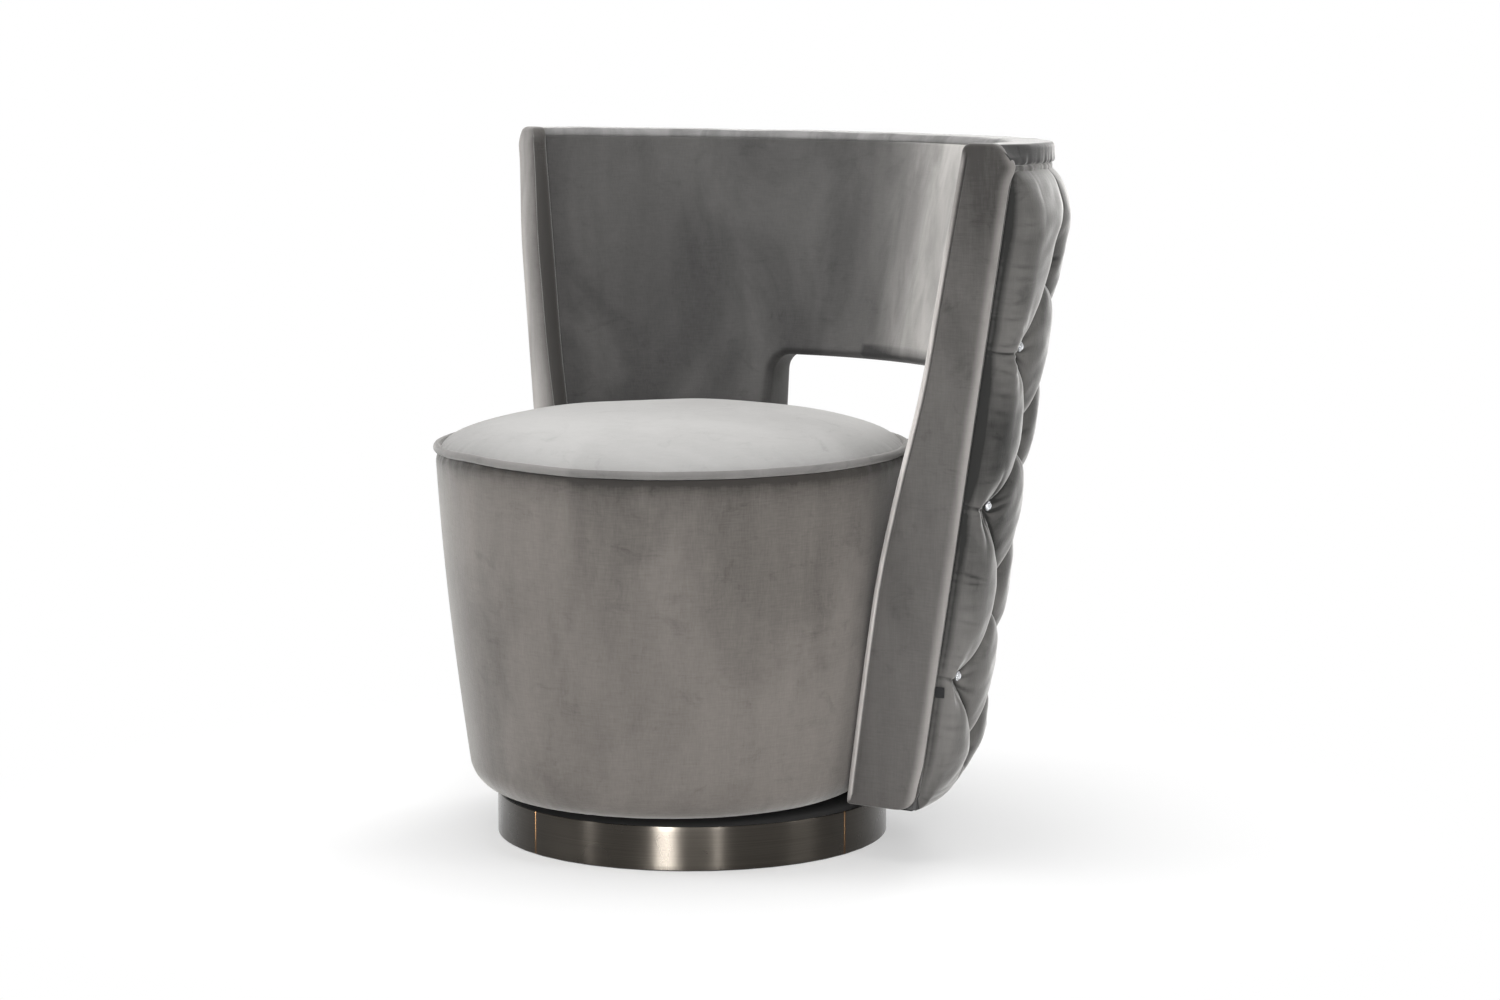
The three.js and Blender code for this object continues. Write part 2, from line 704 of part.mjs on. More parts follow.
function wovenStrap(run, i) {
  const side = (i - (run.count - 1) / 2) * run.pitch;
  const lastCrossing = (run.crossings - 1) / 2 * run.crossingPitch;
  const level = lastCrossing + run.crossingPitch / 2;
  const farSide = Math.abs(side) + strapWidth / 2;
  const reach = Math.sqrt((deckRingRadius - strapEndMargin) ** 2 - farSide ** 2);
  const seated = deckHeight + contactGap + strapThickness / 2;
  const lift = run.lift * (i % 2 === 0 ? 1 : -1);
  const centreHeight = (position) => {
    const beyond = Math.abs(position) - level;
    if (beyond <= 0) {
      const phase = Math.PI * (position + lastCrossing) / run.crossingPitch;
      return weaveCentre + lift * strapSway * Math.cos(phase);
    }
    return THREE.MathUtils.lerp(weaveCentre, seated, Math.min(beyond / strapEndDrop, 1));
  };
  const positions = evenly(-reach, reach, strapSteps);
  const [near, far] = [side - strapWidth / 2, side + strapWidth / 2];
  const half = strapThickness / 2;
  const section = outline([near, -half], [far, -half], [far, half], [near, half]);
  const rings = positions.map((position) => section.map((corner) => {
    return new THREE.Vector3(position, corner.x, centreHeight(position) + corner.y);
  }));
  return loft(rings, section);
}

// The seat's crown at a radius: full near the piping, nearly level in the middle
function crownHeight(radius, rimRadius) {
  const share = Math.min(radius / rimRadius, 1);
  return seatCrown * (1 - share ** crownRoundShare) ** crownFullShare;
}

function addSeat() {
  place(tub, 'drum_cover', cut(drumCover(), ...backBoltHoles()), velvet);
  place(tub, 'seat_foam', seatFoam(), foam);
  place(tub, 'seat_cover', seatCover(), velvetSeat);
  const section = arcPoints(pipingRing, pipingHeight, pipingRadius, 0, 360, pipingSides).slice(0, -1);
  place(tub, 'seat_piping', turn(section), velvetSeat);
}

// Radii from the middle of the seat to a rim, closer together where the crown falls away
function crownRadii(rim) {
  return evenly(0, Math.PI / 2, crownSteps).map((angle) => rim * Math.sin(angle));
}

function seatCover() {
  const innerRadius = seatCoverRadius - seatCoverThickness;
  const outer = crownRadii(seatCoverRadius).map((radius) => {
    return new THREE.Vector2(radius, pipingHeight + crownHeight(radius, seatCoverRadius));
  });
  const inner = crownRadii(innerRadius).map((radius) => {
    return new THREE.Vector2(radius, pipingHeight - seatCoverThickness + crownHeight(radius, innerRadius));
  });
  const hem = seatRimHeight + contactGap;
  const skirt = outline([seatCoverRadius, hem], [innerRadius, hem]);
  return turn([...outer, ...skirt, ...inner.reverse()]);
}

function seatFoam() {
  const side = drumSkinInner(foamBase) - contactGap;
  const innerRadius = seatCoverRadius - seatCoverThickness;
  const underCover = pipingHeight - seatCoverThickness - contactGap - contactGap;
  const crown = crownRadii(innerRadius).map((radius) => {
    return new THREE.Vector2(radius, underCover + crownHeight(radius, innerRadius));
  });
  const within = crown.filter((point) => point.x < side);
  const [last, beyond] = [within.at(-1), crown[within.length]];
  const edge = last.clone().lerp(beyond, (side - last.x) / (beyond.x - last.x));
  return turn([...within, edge, ...outline([side, foamBase], [0, foamBase])]);
}

// Back frame: plywood ribs and rails between a bent inner skin and a straight outer skin
function addBackFrame() {
  const innerFace = (height) => shellInner(height) + innerPadThickness + contactGap;
  const cavityInner = (height) => innerFace(height) + innerSkinThickness + contactGap;
  const skinOuter = (height) => borderRadius(height) - outerPadBase - contactGap;
  const cavityOuter = (height) => skinOuter(height) - outerSkinThickness - contactGap;
  const frameHole = windowCutter(linerThickness + contactGap);
  const cavity = (from, to, base, top) => {
    return sweepRound(layerOutline(cavityInner, cavityOuter, base, top), from, to);
  };

  const innerSkin = sweepRound(layerOutline(innerFace, (height) => innerFace(height) + innerSkinThickness,
    drumBase, shellTop), -shellEndAngle, shellEndAngle);
  const outerSkin = sweepRound(layerOutline((height) => skinOuter(height) - outerSkinThickness, skinOuter,
    drumBase, shellTop), -shellEndAngle, shellEndAngle);
  place(tub, 'back_inner_skin', cut(innerSkin, frameHole, ...backBoltHoles()), plywood);
  place(tub, 'back_outer_skin', cut(outerSkin, frameHole), plywood);

  const ribAngle = degrees(ribThickness / windowRadius);
  const gapAngle = degrees(contactGap / shellInner(drumBase));
  const railEnd = shellEndAngle - ribAngle - gapAngle;
  const bottomRailTop = drumBase + railHeight;
  const topRailBase = shellTop - railHeight;
  place(tub, 'back_bottom_rail', cavity(-railEnd, railEnd, drumBase, bottomRailTop), plywood);
  place(tub, 'back_top_rail', cavity(-railEnd, railEnd, topRailBase, shellTop), plywood);

  const windowRibInner = windowHalfAngle + degrees((linerThickness + contactGap) / windowRadius);
  const windowRailEnd = windowRibInner - gapAngle;
  const headBase = windowTop + linerThickness + contactGap;
  const sillTop = windowBottom - linerThickness - contactGap;
  const [headRail, sillRail] = [headBase, sillTop - railHeight].map((base) => {
    return cavity(-windowRailEnd, windowRailEnd, base, base + railHeight);
  });
  place(tub, 'window_head_rail', headRail, plywood);
  place(tub, 'window_sill_rail', sillRail, plywood);
  for (const [side, mirror] of [['left', -1], ['right', 1]]) {
    const between = (near, far) => (mirror > 0 ? [near, far] : [-far, -near]);
    const endRib = cavity(...between(shellEndAngle - ribAngle, shellEndAngle), drumBase, shellTop);
    const windowRib = cavity(...between(windowRibInner, windowRibInner + ribAngle),
      bottomRailTop + contactGap, topRailBase - contactGap);
    place(tub, `back_end_rib_${side}`, endRib, plywood);
    place(tub, `window_rib_${side}`, windowRib, plywood);
  }
  const clothTop = drumBase - contactGap;
  const cloth = layerOutline(cavityInner, cavityOuter, clothTop - clothThickness, clothTop);
  place(tub, 'back_dust_cloth', sweepRound(cloth, -shellEndAngle, shellEndAngle), blackCloth);
}

// A block through the back in the window's shape, grown on every side by `margin`
function windowCutter(margin) {
  const halfWidth = radians(windowHalfAngle) * windowRadius + margin;
  const [top, base, corner] = [windowTop + margin, windowBottom - margin, windowCornerRadius + margin];
  const corners = [[1, 1, 0], [-1, 1, 90], [-1, -1, 180], [1, -1, 270]];
  const face = corners.flatMap(([sideways, upwards, start]) => {
    const x = sideways * (halfWidth - corner);
    const y = upwards > 0 ? top - corner : base + corner;
    return arcPoints(x, y, corner, start, start + 90, windowCornerSteps);
  });
  const innerEnd = shellInner(windowTop) / 2;
  const outerEnd = borderRadius(backHeight) * 2;
  const rings = [innerEnd, outerEnd].map((radius) => {
    return face.map((point) => onShell(degrees(point.x / windowRadius), radius, point.y));
  });
  return loft(rings, face);
}

// Distance from a point of the outer face to the window's lining, in millimetres
function windowDistance(angle, radius, height) {
  const sideways = radians(Math.abs(angle) - windowHalfAngle) * radius - linerThickness;
  const upwards = Math.max(height - windowTop, windowBottom - height) - linerThickness;
  return Math.hypot(Math.max(sideways, 0), Math.max(upwards, 0));
}

// How far the padding has risen from a border, as a quarter round
function rollShare(distance) {
  const share = THREE.MathUtils.clamp(distance / tuftRollWidth, 0, 1);
  return Math.sqrt(1 - (1 - share) ** 2);
}

// The deep buttoning: full diamonds, pleats between the buttons, and straight pleats to the borders
function tuftShare(angle, height) {
  const column = Math.min(Math.abs(angle) / tuftAngle, tuftLastColumn);
  const row = THREE.MathUtils.clamp((tuftTopHeight - height) / (tuftPitch / 2), 0, tuftLastRow);
  const rising = Math.PI * (column + row - 1) / 2;
  const falling = Math.PI * (column - row - 1) / 2;
  const puff = Math.abs(Math.sin(rising) * Math.sin(falling)) ** tuftPuffShare;
  const pleat = 1 - Math.abs(Math.cos(rising) * Math.cos(falling));
  return puff * (1 - tuftCreaseShare) + pleat * tuftCreaseShare;
}

function outerPadRadius(angle, height) {
  const border = borderRadius(height);
  const toEnd = radians(outerPadEndAngle - Math.abs(angle)) * border;
  const edge = Math.min(toEnd, shellTop - height, height - drumBase, windowDistance(angle, border, height));
  const level = (height - drumBase) / (backHeight - drumBase);
  const swell = THREE.MathUtils.lerp(tuftSwellFoot, tuftSwellTop, level);
  return border + swell * tuftShare(angle, height) * rollShare(Math.max(edge, 0));
}

// Rows and columns of the outer pad lie on the buttons and the pleats, with extra ones at the borders
function outerPadAngles() {
  const rollAngle = degrees(tuftRollWidth / borderRadius(windowTop));
  const lastColumn = tuftLastColumn * tuftAngle;
  const roll = evenly(1, 0, tuftRollSteps).map((share) => outerPadEndAngle - rollAngle * share ** 2);
  const beyond = roll.filter((angle) => angle > lastColumn + facetAngle / 4);
  const half = [...facetAngles(0, lastColumn), ...beyond];
  return [...half.slice(1).reverse().map((angle) => -angle), ...half];
}

function outerPadHeights() {
  const rowStep = tuftPitch / 2 / tuftRowSteps;
  const roll = evenly(0, 1, tuftRollSteps).map((share) => tuftRollWidth * share ** 2);
  const low = drumBase + tuftRollWidth + rowStep / 4;
  const high = shellTop - tuftRollWidth - rowStep / 4;
  const rows = [];
  const lowestRow = Math.ceil((low - tuftTopHeight) / rowStep);
  for (let height = tuftTopHeight + lowestRow * rowStep; height < high; height += rowStep) {
    rows.push(height);
  }
  return [...roll.map((rise) => drumBase + rise), ...rows, ...roll.reverse().map((drop) => shellTop - drop)];
}

function outerPad() {
  const heights = outerPadHeights();
  const backFace = [shellTop, drumBase].map((height) => [borderRadius(height) - outerPadBase, height]);
  const flat = [...heights.map((height) => [borderRadius(height), height]), ...backFace];
  const rings = outerPadAngles().map((angle) => {
    const face = heights.map((height) => onShell(angle, footedRadius(angle, height), height));
    return [...face, ...backFace.map(([radius, height]) => onShell(angle, radius, height))];
  });
  return loft(rings, outline(...flat));
}

// The pad's foot is drawn in where the velvet turns under the back
function footedRadius(angle, height) {
  const rise = THREE.MathUtils.clamp((height - drumBase) / endFootCornerRadius, 0, 1);
  const drawIn = (outerPadBase - footEdgeThickness) * (1 - Math.sqrt(1 - (1 - rise) ** 2));
  return outerPadRadius(angle, height) - drawIn;
}

// Back upholstery
function addBackPadding() {
  const padHole = windowCutter(linerThickness + contactGap);
  const innerPad = sweepRound(layerOutline(shellInner, (height) => shellInner(height) + innerPadThickness,
    drumBase, shellTop), -shellEndAngle, shellEndAngle);
  place(tub, 'back_inner_pad', cut(innerPad, padHole, ...backBoltHoles()), velvet);
  place(tub, 'back_outer_pad', cut(outerPad(), padHole), velvet);
  place(tub, 'back_top_pad', sweepRound(topPadOutline(), -shellEndAngle, shellEndAngle), velvet);
  place(tub, 'window_liner', windowLiner(), velvet);
  for (const [side, mirror] of [['left', -1], ['right', 1]]) {
    const ends = [mirror * endPadBackAngle, mirror * backEndAngle].sort((a, b) => a - b);
    place(tub, `back_end_pad_${side}`, sweepRound(endPadOutline(), ...ends), velvet);
    place(tub, `back_end_piping_${side}`, endPiping(mirror), velvetSeat);
  }
  place(tub, 'seam_tab', seamTab(), blackCloth);
}

function topPadOutline() {
  const inner = shellInner(backHeight - topEdgeRadius);
  const outer = borderRadius(backHeight) + topPadOverhang;
  const level = backHeight - topEdgeRadius;
  return [
    ...outline([shellInner(topPadBase), topPadBase], [borderRadius(topPadBase) + topPadOverhang, topPadBase]),
    ...arcPoints(outer - topEdgeRadius, level, topEdgeRadius, 0, 90, topEdgeSteps),
    ...arcPoints(inner + topEdgeRadius, level, topEdgeRadius, 90, 180, topEdgeSteps),
  ];
}

// The end face: rounded at the foot, chamfered round at its top outer corner, with a small shoulder
function endPadOutline() {
  const foot = borderRadius(drumBase) - endFootCornerRadius;
  const cornerTop = drumBase + endFootCornerRadius;
  const shoulder = backHeight - endShoulderDrop;
  const pinch = backHeight - endPinchDrop;
  const inner = shellHeights(drumBase, backHeight - topEdgeRadius).map((height) => {
    return new THREE.Vector2(shellInner(height), height);
  });
  const footCorner = arcPoints(foot, cornerTop, endFootCornerRadius, -90, 0, topEdgeSteps);
  const topInner = shellInner(backHeight - topEdgeRadius) + topEdgeRadius;
  return [
    ...footCorner,
    ...outline([borderRadius(pinch), pinch], [borderRadius(shoulder) + endShoulder, shoulder],
      [borderRadius(backHeight) - endTopCornerRadius / 4, backHeight - endTopCornerRadius / 2],
      [borderRadius(backHeight) - endTopCornerRadius, backHeight]),
    ...arcPoints(topInner, backHeight - topEdgeRadius, topEdgeRadius, 90, 180, topEdgeSteps),
    ...inner.reverse().slice(1),
  ];
}

function windowLiner() {
  const [base, top] = [windowBottom - linerThickness - cutOverrun, windowTop + linerThickness + cutOverrun];
  const end = windowHalfAngle + degrees((linerThickness + cutOverrun) / shellInner(base));
  const block = sweepRound(layerOutline(shellInner, borderRadius, base, top), -end, end);
  return cut(common(block, windowCutter(linerThickness)), windowCutter(0));
}

// Piping in the groove between an end pad and the tufting
function endPiping(mirror) {
  const base = drumBase + endFootCornerRadius;
  const top = shellTop - endPinchDrop / 2;
  const route = [base, top].map((height) => {
    const angle = endPadBackAngle - degrees((endPipingRadius + contactGap) / borderRadius(height));
    return onShell(mirror * angle, borderRadius(height), height);
  });
  const section = new THREE.Shape(arcPoints(0, 0, endPipingRadius, 0, 360, pipingSides).slice(0, -1));
  const path = new THREE.LineCurve3(...route);
  return outwards(new THREE.ExtrudeGeometry(section, { extrudePath: path, steps: 1, bevelEnabled: false }));
}

// A small bare cloth tab, caught in the seam beside the right-hand piping
function seamTab() {
  const near = outerPadEndAngle;
  const top = tuftTopHeight - tuftPitch / 2 * (tuftLastRow - 1) - tabDrop;
  const far = near - degrees(tabWidth / borderRadius(top));
  const heights = evenly(top - tabHeight, top, 2);
  const lie = Math.max(...[near, (near + far) / 2, far].flatMap((angle) => {
    return heights.map((height) => outerPadRadius(angle, height));
  }));
  const [inner, outer] = [lie + contactGap, lie + contactGap + tabThickness];
  const face = outline([inner, top - tabHeight], [outer, top - tabHeight], [outer, top], [inner, top]);
  return sweepRound(face, far, near);
}

// Battens fill the gap between the drum and the back, and two bolts a side pass through them
function addBackFixings() {
  const inner = (height) => drumWall(height) + battenClearance;
  const outer = (height) => shellInner(height) - battenClearance;
  const halfAngle = degrees(battenWidth / 2 / drumWall(battenFoot));
  for (const [side, mirror] of [['left', -1], ['right', 1]]) {
    const block = layerOutline(inner, outer, battenFoot, battenFoot + battenHeight, drumHeights);
    const batten = sweepRound(block, mirror * postAngle - halfAngle, mirror * postAngle + halfAngle);
    place(tub, `back_batten_${side}`, cut(batten, ...backBoltHoles()), plywood);
    backBoltHeights().forEach((height, i) => {
      place(tub, `back_bolt_${side}_${i + 1}`, backBolt(mirror * postAngle, height), zincSteel);
    });
  }
}

function backBoltHeights() {
  const middle = battenFoot + battenHeight / 2;
  return [middle - backBoltSpacing / 2, middle + backBoltSpacing / 2];
}

// Both bolts of a side stand level, from the inner face of a post to the back's inner skin
function backBolt(angle, height) {
  const start = postReach() - postDepth - contactGap;
  const skinFace = shellInner(height + backBoltNutRadius) + innerPadThickness + contactGap
    + innerSkinThickness;
  const nutFace = skinFace + contactGap + contactGap;
  const headFace = start - backBoltHeadThickness;
  const end = nutFace + backBoltNutThickness;
  const bolt = turn(outline([0, headFace], [backBoltHeadRadius, headFace], [backBoltHeadRadius, start],
    [backBoltRadius, start], [backBoltRadius, nutFace], [backBoltNutRadius, nutFace],
    [backBoltNutRadius, end], [0, end]), fixingSteps);
  return layRadially(bolt, angle, height);
}

// Lays a piece that stands on Z along the back's radius at an angle and a height
function layRadially(piece, angle, height) {
  return piece.rotateX(-Math.PI / 2).rotateZ(-radians(angle)).translate(0, 0, height);
}

function backBoltHoles() {
  return [-postAngle, postAngle].flatMap((angle) => backBoltHeights().map((height) => {
    const hole = ring(0, backBoltRadius + contactGap, drumFootRadius / 2, borderRadius(height), fixingSteps);
    return layRadially(hole, angle, height);
  }));
}

addPlinth();
addSwivel();
addDrumFrame();
addWebbing();
addSeat();
addBackFrame();
addBackPadding();
addBackFixings();

export default group;
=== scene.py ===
# %% [markdown]
# # A swivelling cuddle chair in button-tufted velvet
#
# The chair is a round drum seat on a low steel-banded plinth. A curved back stands round the drum,
# with a window cut through it, plain velvet inside and deep buttoning outside.
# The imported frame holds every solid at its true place. This script dresses that frame:
# each soft solid is replaced by a finer upholstered piece, and each hard one gets a finish.

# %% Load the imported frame
import json
import math

import bmesh
import bpy
import numpy as np
from mathutils import Matrix, Vector
from mathutils.geometry import delaunay_2d_cdt


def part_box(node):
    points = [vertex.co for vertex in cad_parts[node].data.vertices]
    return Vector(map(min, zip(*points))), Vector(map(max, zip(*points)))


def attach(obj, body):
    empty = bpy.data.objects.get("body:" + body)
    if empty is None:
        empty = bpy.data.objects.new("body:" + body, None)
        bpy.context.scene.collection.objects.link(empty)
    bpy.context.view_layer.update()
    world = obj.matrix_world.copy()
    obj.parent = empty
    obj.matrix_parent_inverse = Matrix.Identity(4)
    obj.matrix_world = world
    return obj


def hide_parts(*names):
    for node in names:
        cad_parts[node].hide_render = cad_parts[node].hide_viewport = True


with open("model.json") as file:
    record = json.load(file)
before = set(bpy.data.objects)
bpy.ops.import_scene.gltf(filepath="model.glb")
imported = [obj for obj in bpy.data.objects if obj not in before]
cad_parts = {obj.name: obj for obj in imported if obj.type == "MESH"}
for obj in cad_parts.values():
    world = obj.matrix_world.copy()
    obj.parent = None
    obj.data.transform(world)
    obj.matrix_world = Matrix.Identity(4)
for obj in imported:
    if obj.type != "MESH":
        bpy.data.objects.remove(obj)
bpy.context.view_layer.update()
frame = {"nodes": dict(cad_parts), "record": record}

# %% [markdown]
# ## Where everything sits
#
# Lengths are metres and Z points up. The drum and the back are both round about one upright axis,
# which stands a little in front of the swivel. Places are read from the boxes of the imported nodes,
# so that a velvet piece lies where its solid does. Angles round the back are degrees:
# 0 is straight behind the sitter, and they grow towards +X.

# %% Places read from the frame
MM = 0.001

drum_low, drum_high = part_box("drum_cover")
TUB_Y = (drum_low.y + drum_high.y) / 2
DRUM_BASE = drum_low.z
DRUM_TOP = drum_high.z
DRUM_TOP_RADIUS = drum_high.x
DRUM_FOOT_RADIUS = DRUM_TOP_RADIUS - 38 * MM
DRUM_BELLY = 4 * MM
DRUM_CORNER = 30 * MM

piping_low, piping_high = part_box("seat_piping")
PIPING_RADIUS = 4.3 * MM
PIPING_HEIGHT = (piping_low.z + piping_high.z) / 2
PIPING_RING = piping_high.x - PIPING_RADIUS
SEAT_RADIUS = PIPING_RING - PIPING_RADIUS * 0.9
SEAT_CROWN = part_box("seat_cover")[1].z - PIPING_HEIGHT

BACK_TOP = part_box("back_top_pad")[1].z
BACK_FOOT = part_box("back_inner_pad")[0].z
BAND_SEAM = BACK_TOP - 9 * MM
TUFT_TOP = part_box("back_outer_pad")[1].z - 4 * MM
END_ANGLE = 75.0
END_SEAM_ANGLE = 72.8
TUFT_END_ANGLE = 72.45
INNER_FACE = ((0.0, 0.217), (0.055, 0.222), (0.20, 0.242), (0.30, 0.257), (0.40, 0.2815), (0.50, 0.3095),
              (0.60, 0.3275), (0.70, 0.3465), (0.75, 0.3565), (0.80, 0.367))
BORDER_FOOT_RADIUS = 0.309
BORDER_TOP_RADIUS = 0.411

RIM_DIP = 5.5 * MM
WINDOW_HALF_ANGLE = 27.0
WINDOW_LOW = 0.400
WINDOW_HIGH = 0.492
WINDOW_CORNER = 22 * MM


def inner_radius(height):
    """Radius of the velvet that the sitter leans on, smoothed from a few measured points."""
    heights, radii = zip(*INNER_FACE)
    spread = np.linspace(-0.035, 0.035, 9)
    return np.mean([np.interp(np.asarray(height) + s, heights, radii) for s in spread], axis=0)


def border_radius(height):
    """Radius of the straight outer edge of the back, level with the border of the tufting."""
    share = (np.asarray(height) - BACK_FOOT) / (BACK_TOP - BACK_FOOT)
    return BORDER_FOOT_RADIUS + (BORDER_TOP_RADIUS - BORDER_FOOT_RADIUS) * share


def rim_dip(angle):
    """How far the top rim lies below the tops of the wings; it is lowest in the middle of the back."""
    return RIM_DIP * (1 - (np.asarray(angle) / END_ANGLE) ** 2)


def round_point(angle, radius, height):
    """Points at an angle round the drum's axis, in degrees, as rows of x, y and z."""
    angle, radius, height = np.broadcast_arrays(np.radians(angle), radius, height)
    return np.stack([radius * np.sin(angle), radius * np.cos(angle) + TUB_Y, height], axis=-1)


print(f"drum axis at y = {TUB_Y:.4f}, seat rim {DRUM_TOP:.4f}, back top {BACK_TOP:.4f}")

# %% [markdown]
# ## The camera, the floor and the light
#
# The camera's place was found by fitting the round rims of the plinth, the seat and the back
# to the photograph. The floor is pale and fades to white away from the chair, so that only
# a soft contact shadow stays. A broad soft light hangs above and to the left, weaker ones in front
# and on the right keep the tufting readable, and the world fills in the rest. Three narrow boards
# stand where brushed steel mirrors them as tall bright lines.

# %% Camera
CAMERA_AZIMUTH = 48.436
CAMERA_DISTANCE = 3.9204
CAMERA_HEIGHT = 0.8832
CAMERA_YAW = 0.917
CAMERA_PITCH = 7.611
PHOTO_WIDTH = 1500
FOCAL_PIXELS = 3670.9
SENSOR = 36.0


def add_camera():
    """A camera at the photograph's viewing angle, turned a little right and down."""
    azimuth, yaw, pitch = (math.radians(a) for a in (CAMERA_AZIMUTH, CAMERA_YAW, CAMERA_PITCH))
    place = Vector((CAMERA_DISTANCE * math.sin(azimuth), -CAMERA_DISTANCE * math.cos(azimuth), CAMERA_HEIGHT))
    level = Vector((-math.sin(azimuth - yaw), math.cos(azimuth - yaw), 0))
    right = Vector((math.cos(azimuth - yaw), math.sin(azimuth - yaw), 0))
    forward = level * math.cos(pitch) - Vector((0, 0, 1)) * math.sin(pitch)
    upward = right.cross(forward)
    data = bpy.data.cameras.new("studio_camera")
    data.sensor_width = SENSOR
    data.lens = FOCAL_PIXELS / PHOTO_WIDTH * SENSOR
    camera = bpy.data.objects.new("studio_camera", data)
    turn = Matrix((right, upward, -forward)).transposed().to_4x4()
    camera.matrix_world = Matrix.Translation(place) @ turn
    bpy.context.scene.collection.objects.link(camera)
    bpy.context.scene.camera = camera
    print("camera lens", round(data.lens, 1), "mm")


add_camera()


# %% Small helpers for shader nodes
def new_material(name):
    """A material with only a Principled BSDF and its output; returns (material, nodes, links, bsdf)."""
    material = bpy.data.materials.new(name)
    material.use_nodes = True
    nodes, links = material.node_tree.nodes, material.node_tree.links
    return material, nodes, links, nodes["Principled BSDF"]


def set_inputs(node, values):
    """Sets a node's sockets by name."""
    for socket, value in values.items():
        node.inputs[socket].default_value = value


def object_place(nodes):
    """Where a point lies in its object's own coordinates, so a pattern moves with the object."""
    return nodes.new("ShaderNodeTexCoord").outputs["Object"]


def math_node(nodes, links, operation, first, second):
    """A Math node whose two inputs are sockets or numbers; returns its output."""
    node = nodes.new("ShaderNodeMath")
    node.operation = operation
    for socket, value in zip(node.inputs, (first, second)):
        if isinstance(value, bpy.types.NodeSocket):
            links.new(value, socket)
        else:
            socket.default_value = value
    return node.outputs["Value"]


def noise(nodes, links, vector, scale, detail=2.0, roughness=0.5, distortion=0.0):
    """A Noise Texture on a vector; returns its grey output."""
    node = nodes.new("ShaderNodeTexNoise")
    links.new(vector, node.inputs["Vector"])
    set_inputs(node, {"Scale": scale, "Detail": detail, "Roughness": roughness, "Distortion": distortion})
    return node.outputs["Fac"]


def stretched(nodes, links, vector, scale):
    """A vector scaled differently along each axis, which draws a noise out into streaks."""
    node = nodes.new("ShaderNodeMapping")
    links.new(vector, node.inputs["Vector"])
    node.inputs["Scale"].default_value = scale
    return node.outputs["Vector"]


def map_range(nodes, links, value, limits, smooth=False):
    """A value mapped by a Map Range node, with limits by socket name; returns the result."""
    node = nodes.new("ShaderNodeMapRange")
    node.interpolation_type = "SMOOTHSTEP" if smooth else "LINEAR"
    links.new(value, node.inputs["Value"])
    set_inputs(node, limits)
    return node.outputs["Result"]


def mix_colour(nodes, links, factor, first, second, clamp=True):
    """A colour between two others, each a socket or red, green and blue; returns its output."""
    node = nodes.new("ShaderNodeMix")
    node.data_type = "RGBA"
    node.clamp_factor = clamp
    links.new(factor, node.inputs["Factor"])
    for name, value in {"A": first, "B": second}.items():
        if isinstance(value, bpy.types.NodeSocket):
            links.new(value, node.inputs[name])
        else:
            node.inputs[name].default_value = (*value, 1)
    return node.outputs["Result"]


def add_bump(nodes, links, bsdf, height, strength, distance):
    """Relief from a height, linked to the material's normal."""
    bump = nodes.new("ShaderNodeBump")
    set_inputs(bump, {"Strength": strength, "Distance": distance})
    links.new(height, bump.inputs["Height"])
    links.new(bump.outputs["Normal"], bsdf.inputs["Normal"])


print("shader helpers ready")

# %% Floor, world and lamps
WORLD_FILL = 0.34
FLOOR_RADIUS = 9.0
FLOOR_GREY = 0.93
FLOOR_GAP = 0.2 * MM
SHADOW_REACH = (0.30, 0.85)
WHITE_SHARE = (0.45, 1.0)
LAMPS = (("window_lamp", (-2.0, -2.5, 2.3), (0, 0, 0.4), (1.6, 1.6), 54),
         ("front_lamp", (2.5, -1.8, 1.2), (0, 0, 0.3), (0.8, 1.4), 23),
         ("top_lamp", (0.0, 0.0, 3.0), (0, 0, 0.4), (1.5, 1.5), 44),
         ("right_lamp", (2.6, 1.2, 1.1), (0, 0.1, 0.4), (0.9, 0.9), 20),
         ("back_lamp", (-1.0, 2.9, 2.0), (0, 0.1, 0.4), (1.2, 1.2), 48))
CARDS = (("tall_card", (1.65, -2.50, 0.9), (0, 0, 0.1), (0.52, 1.6), 330),
         ("thin_card", (2.60, -1.35, 0.9), (0, 0, 0.1), (0.10, 1.6), 36),
         ("far_card", (-0.62, -2.93, 0.9), (0, 0, 0.1), (0.26, 1.6), 20))


def shows_background(nodes, links):
    """1 for camera, glossy and transmitted rays, so that metal and glass show the same backdrop."""
    path = nodes.new("ShaderNodeLightPath")
    seen = math_node(nodes, links, "MAXIMUM", path.outputs["Is Camera Ray"], path.outputs["Is Glossy Ray"])
    return math_node(nodes, links, "MAXIMUM", seen, path.outputs["Is Transmission Ray"])


def add_world():
    """White where it is seen, and a weaker even fill for everything that it lights."""
    world = bpy.data.worlds.new("studio_world")
    world.use_nodes = True
    bpy.context.scene.world = world
    nodes, links = world.node_tree.nodes, world.node_tree.links
    strength = math_node(nodes, links, "MAXIMUM", shows_background(nodes, links), WORLD_FILL)
    background = nodes["Background"]
    background.inputs["Color"].default_value = (1, 1, 1, 1)
    links.new(strength, background.inputs["Strength"])


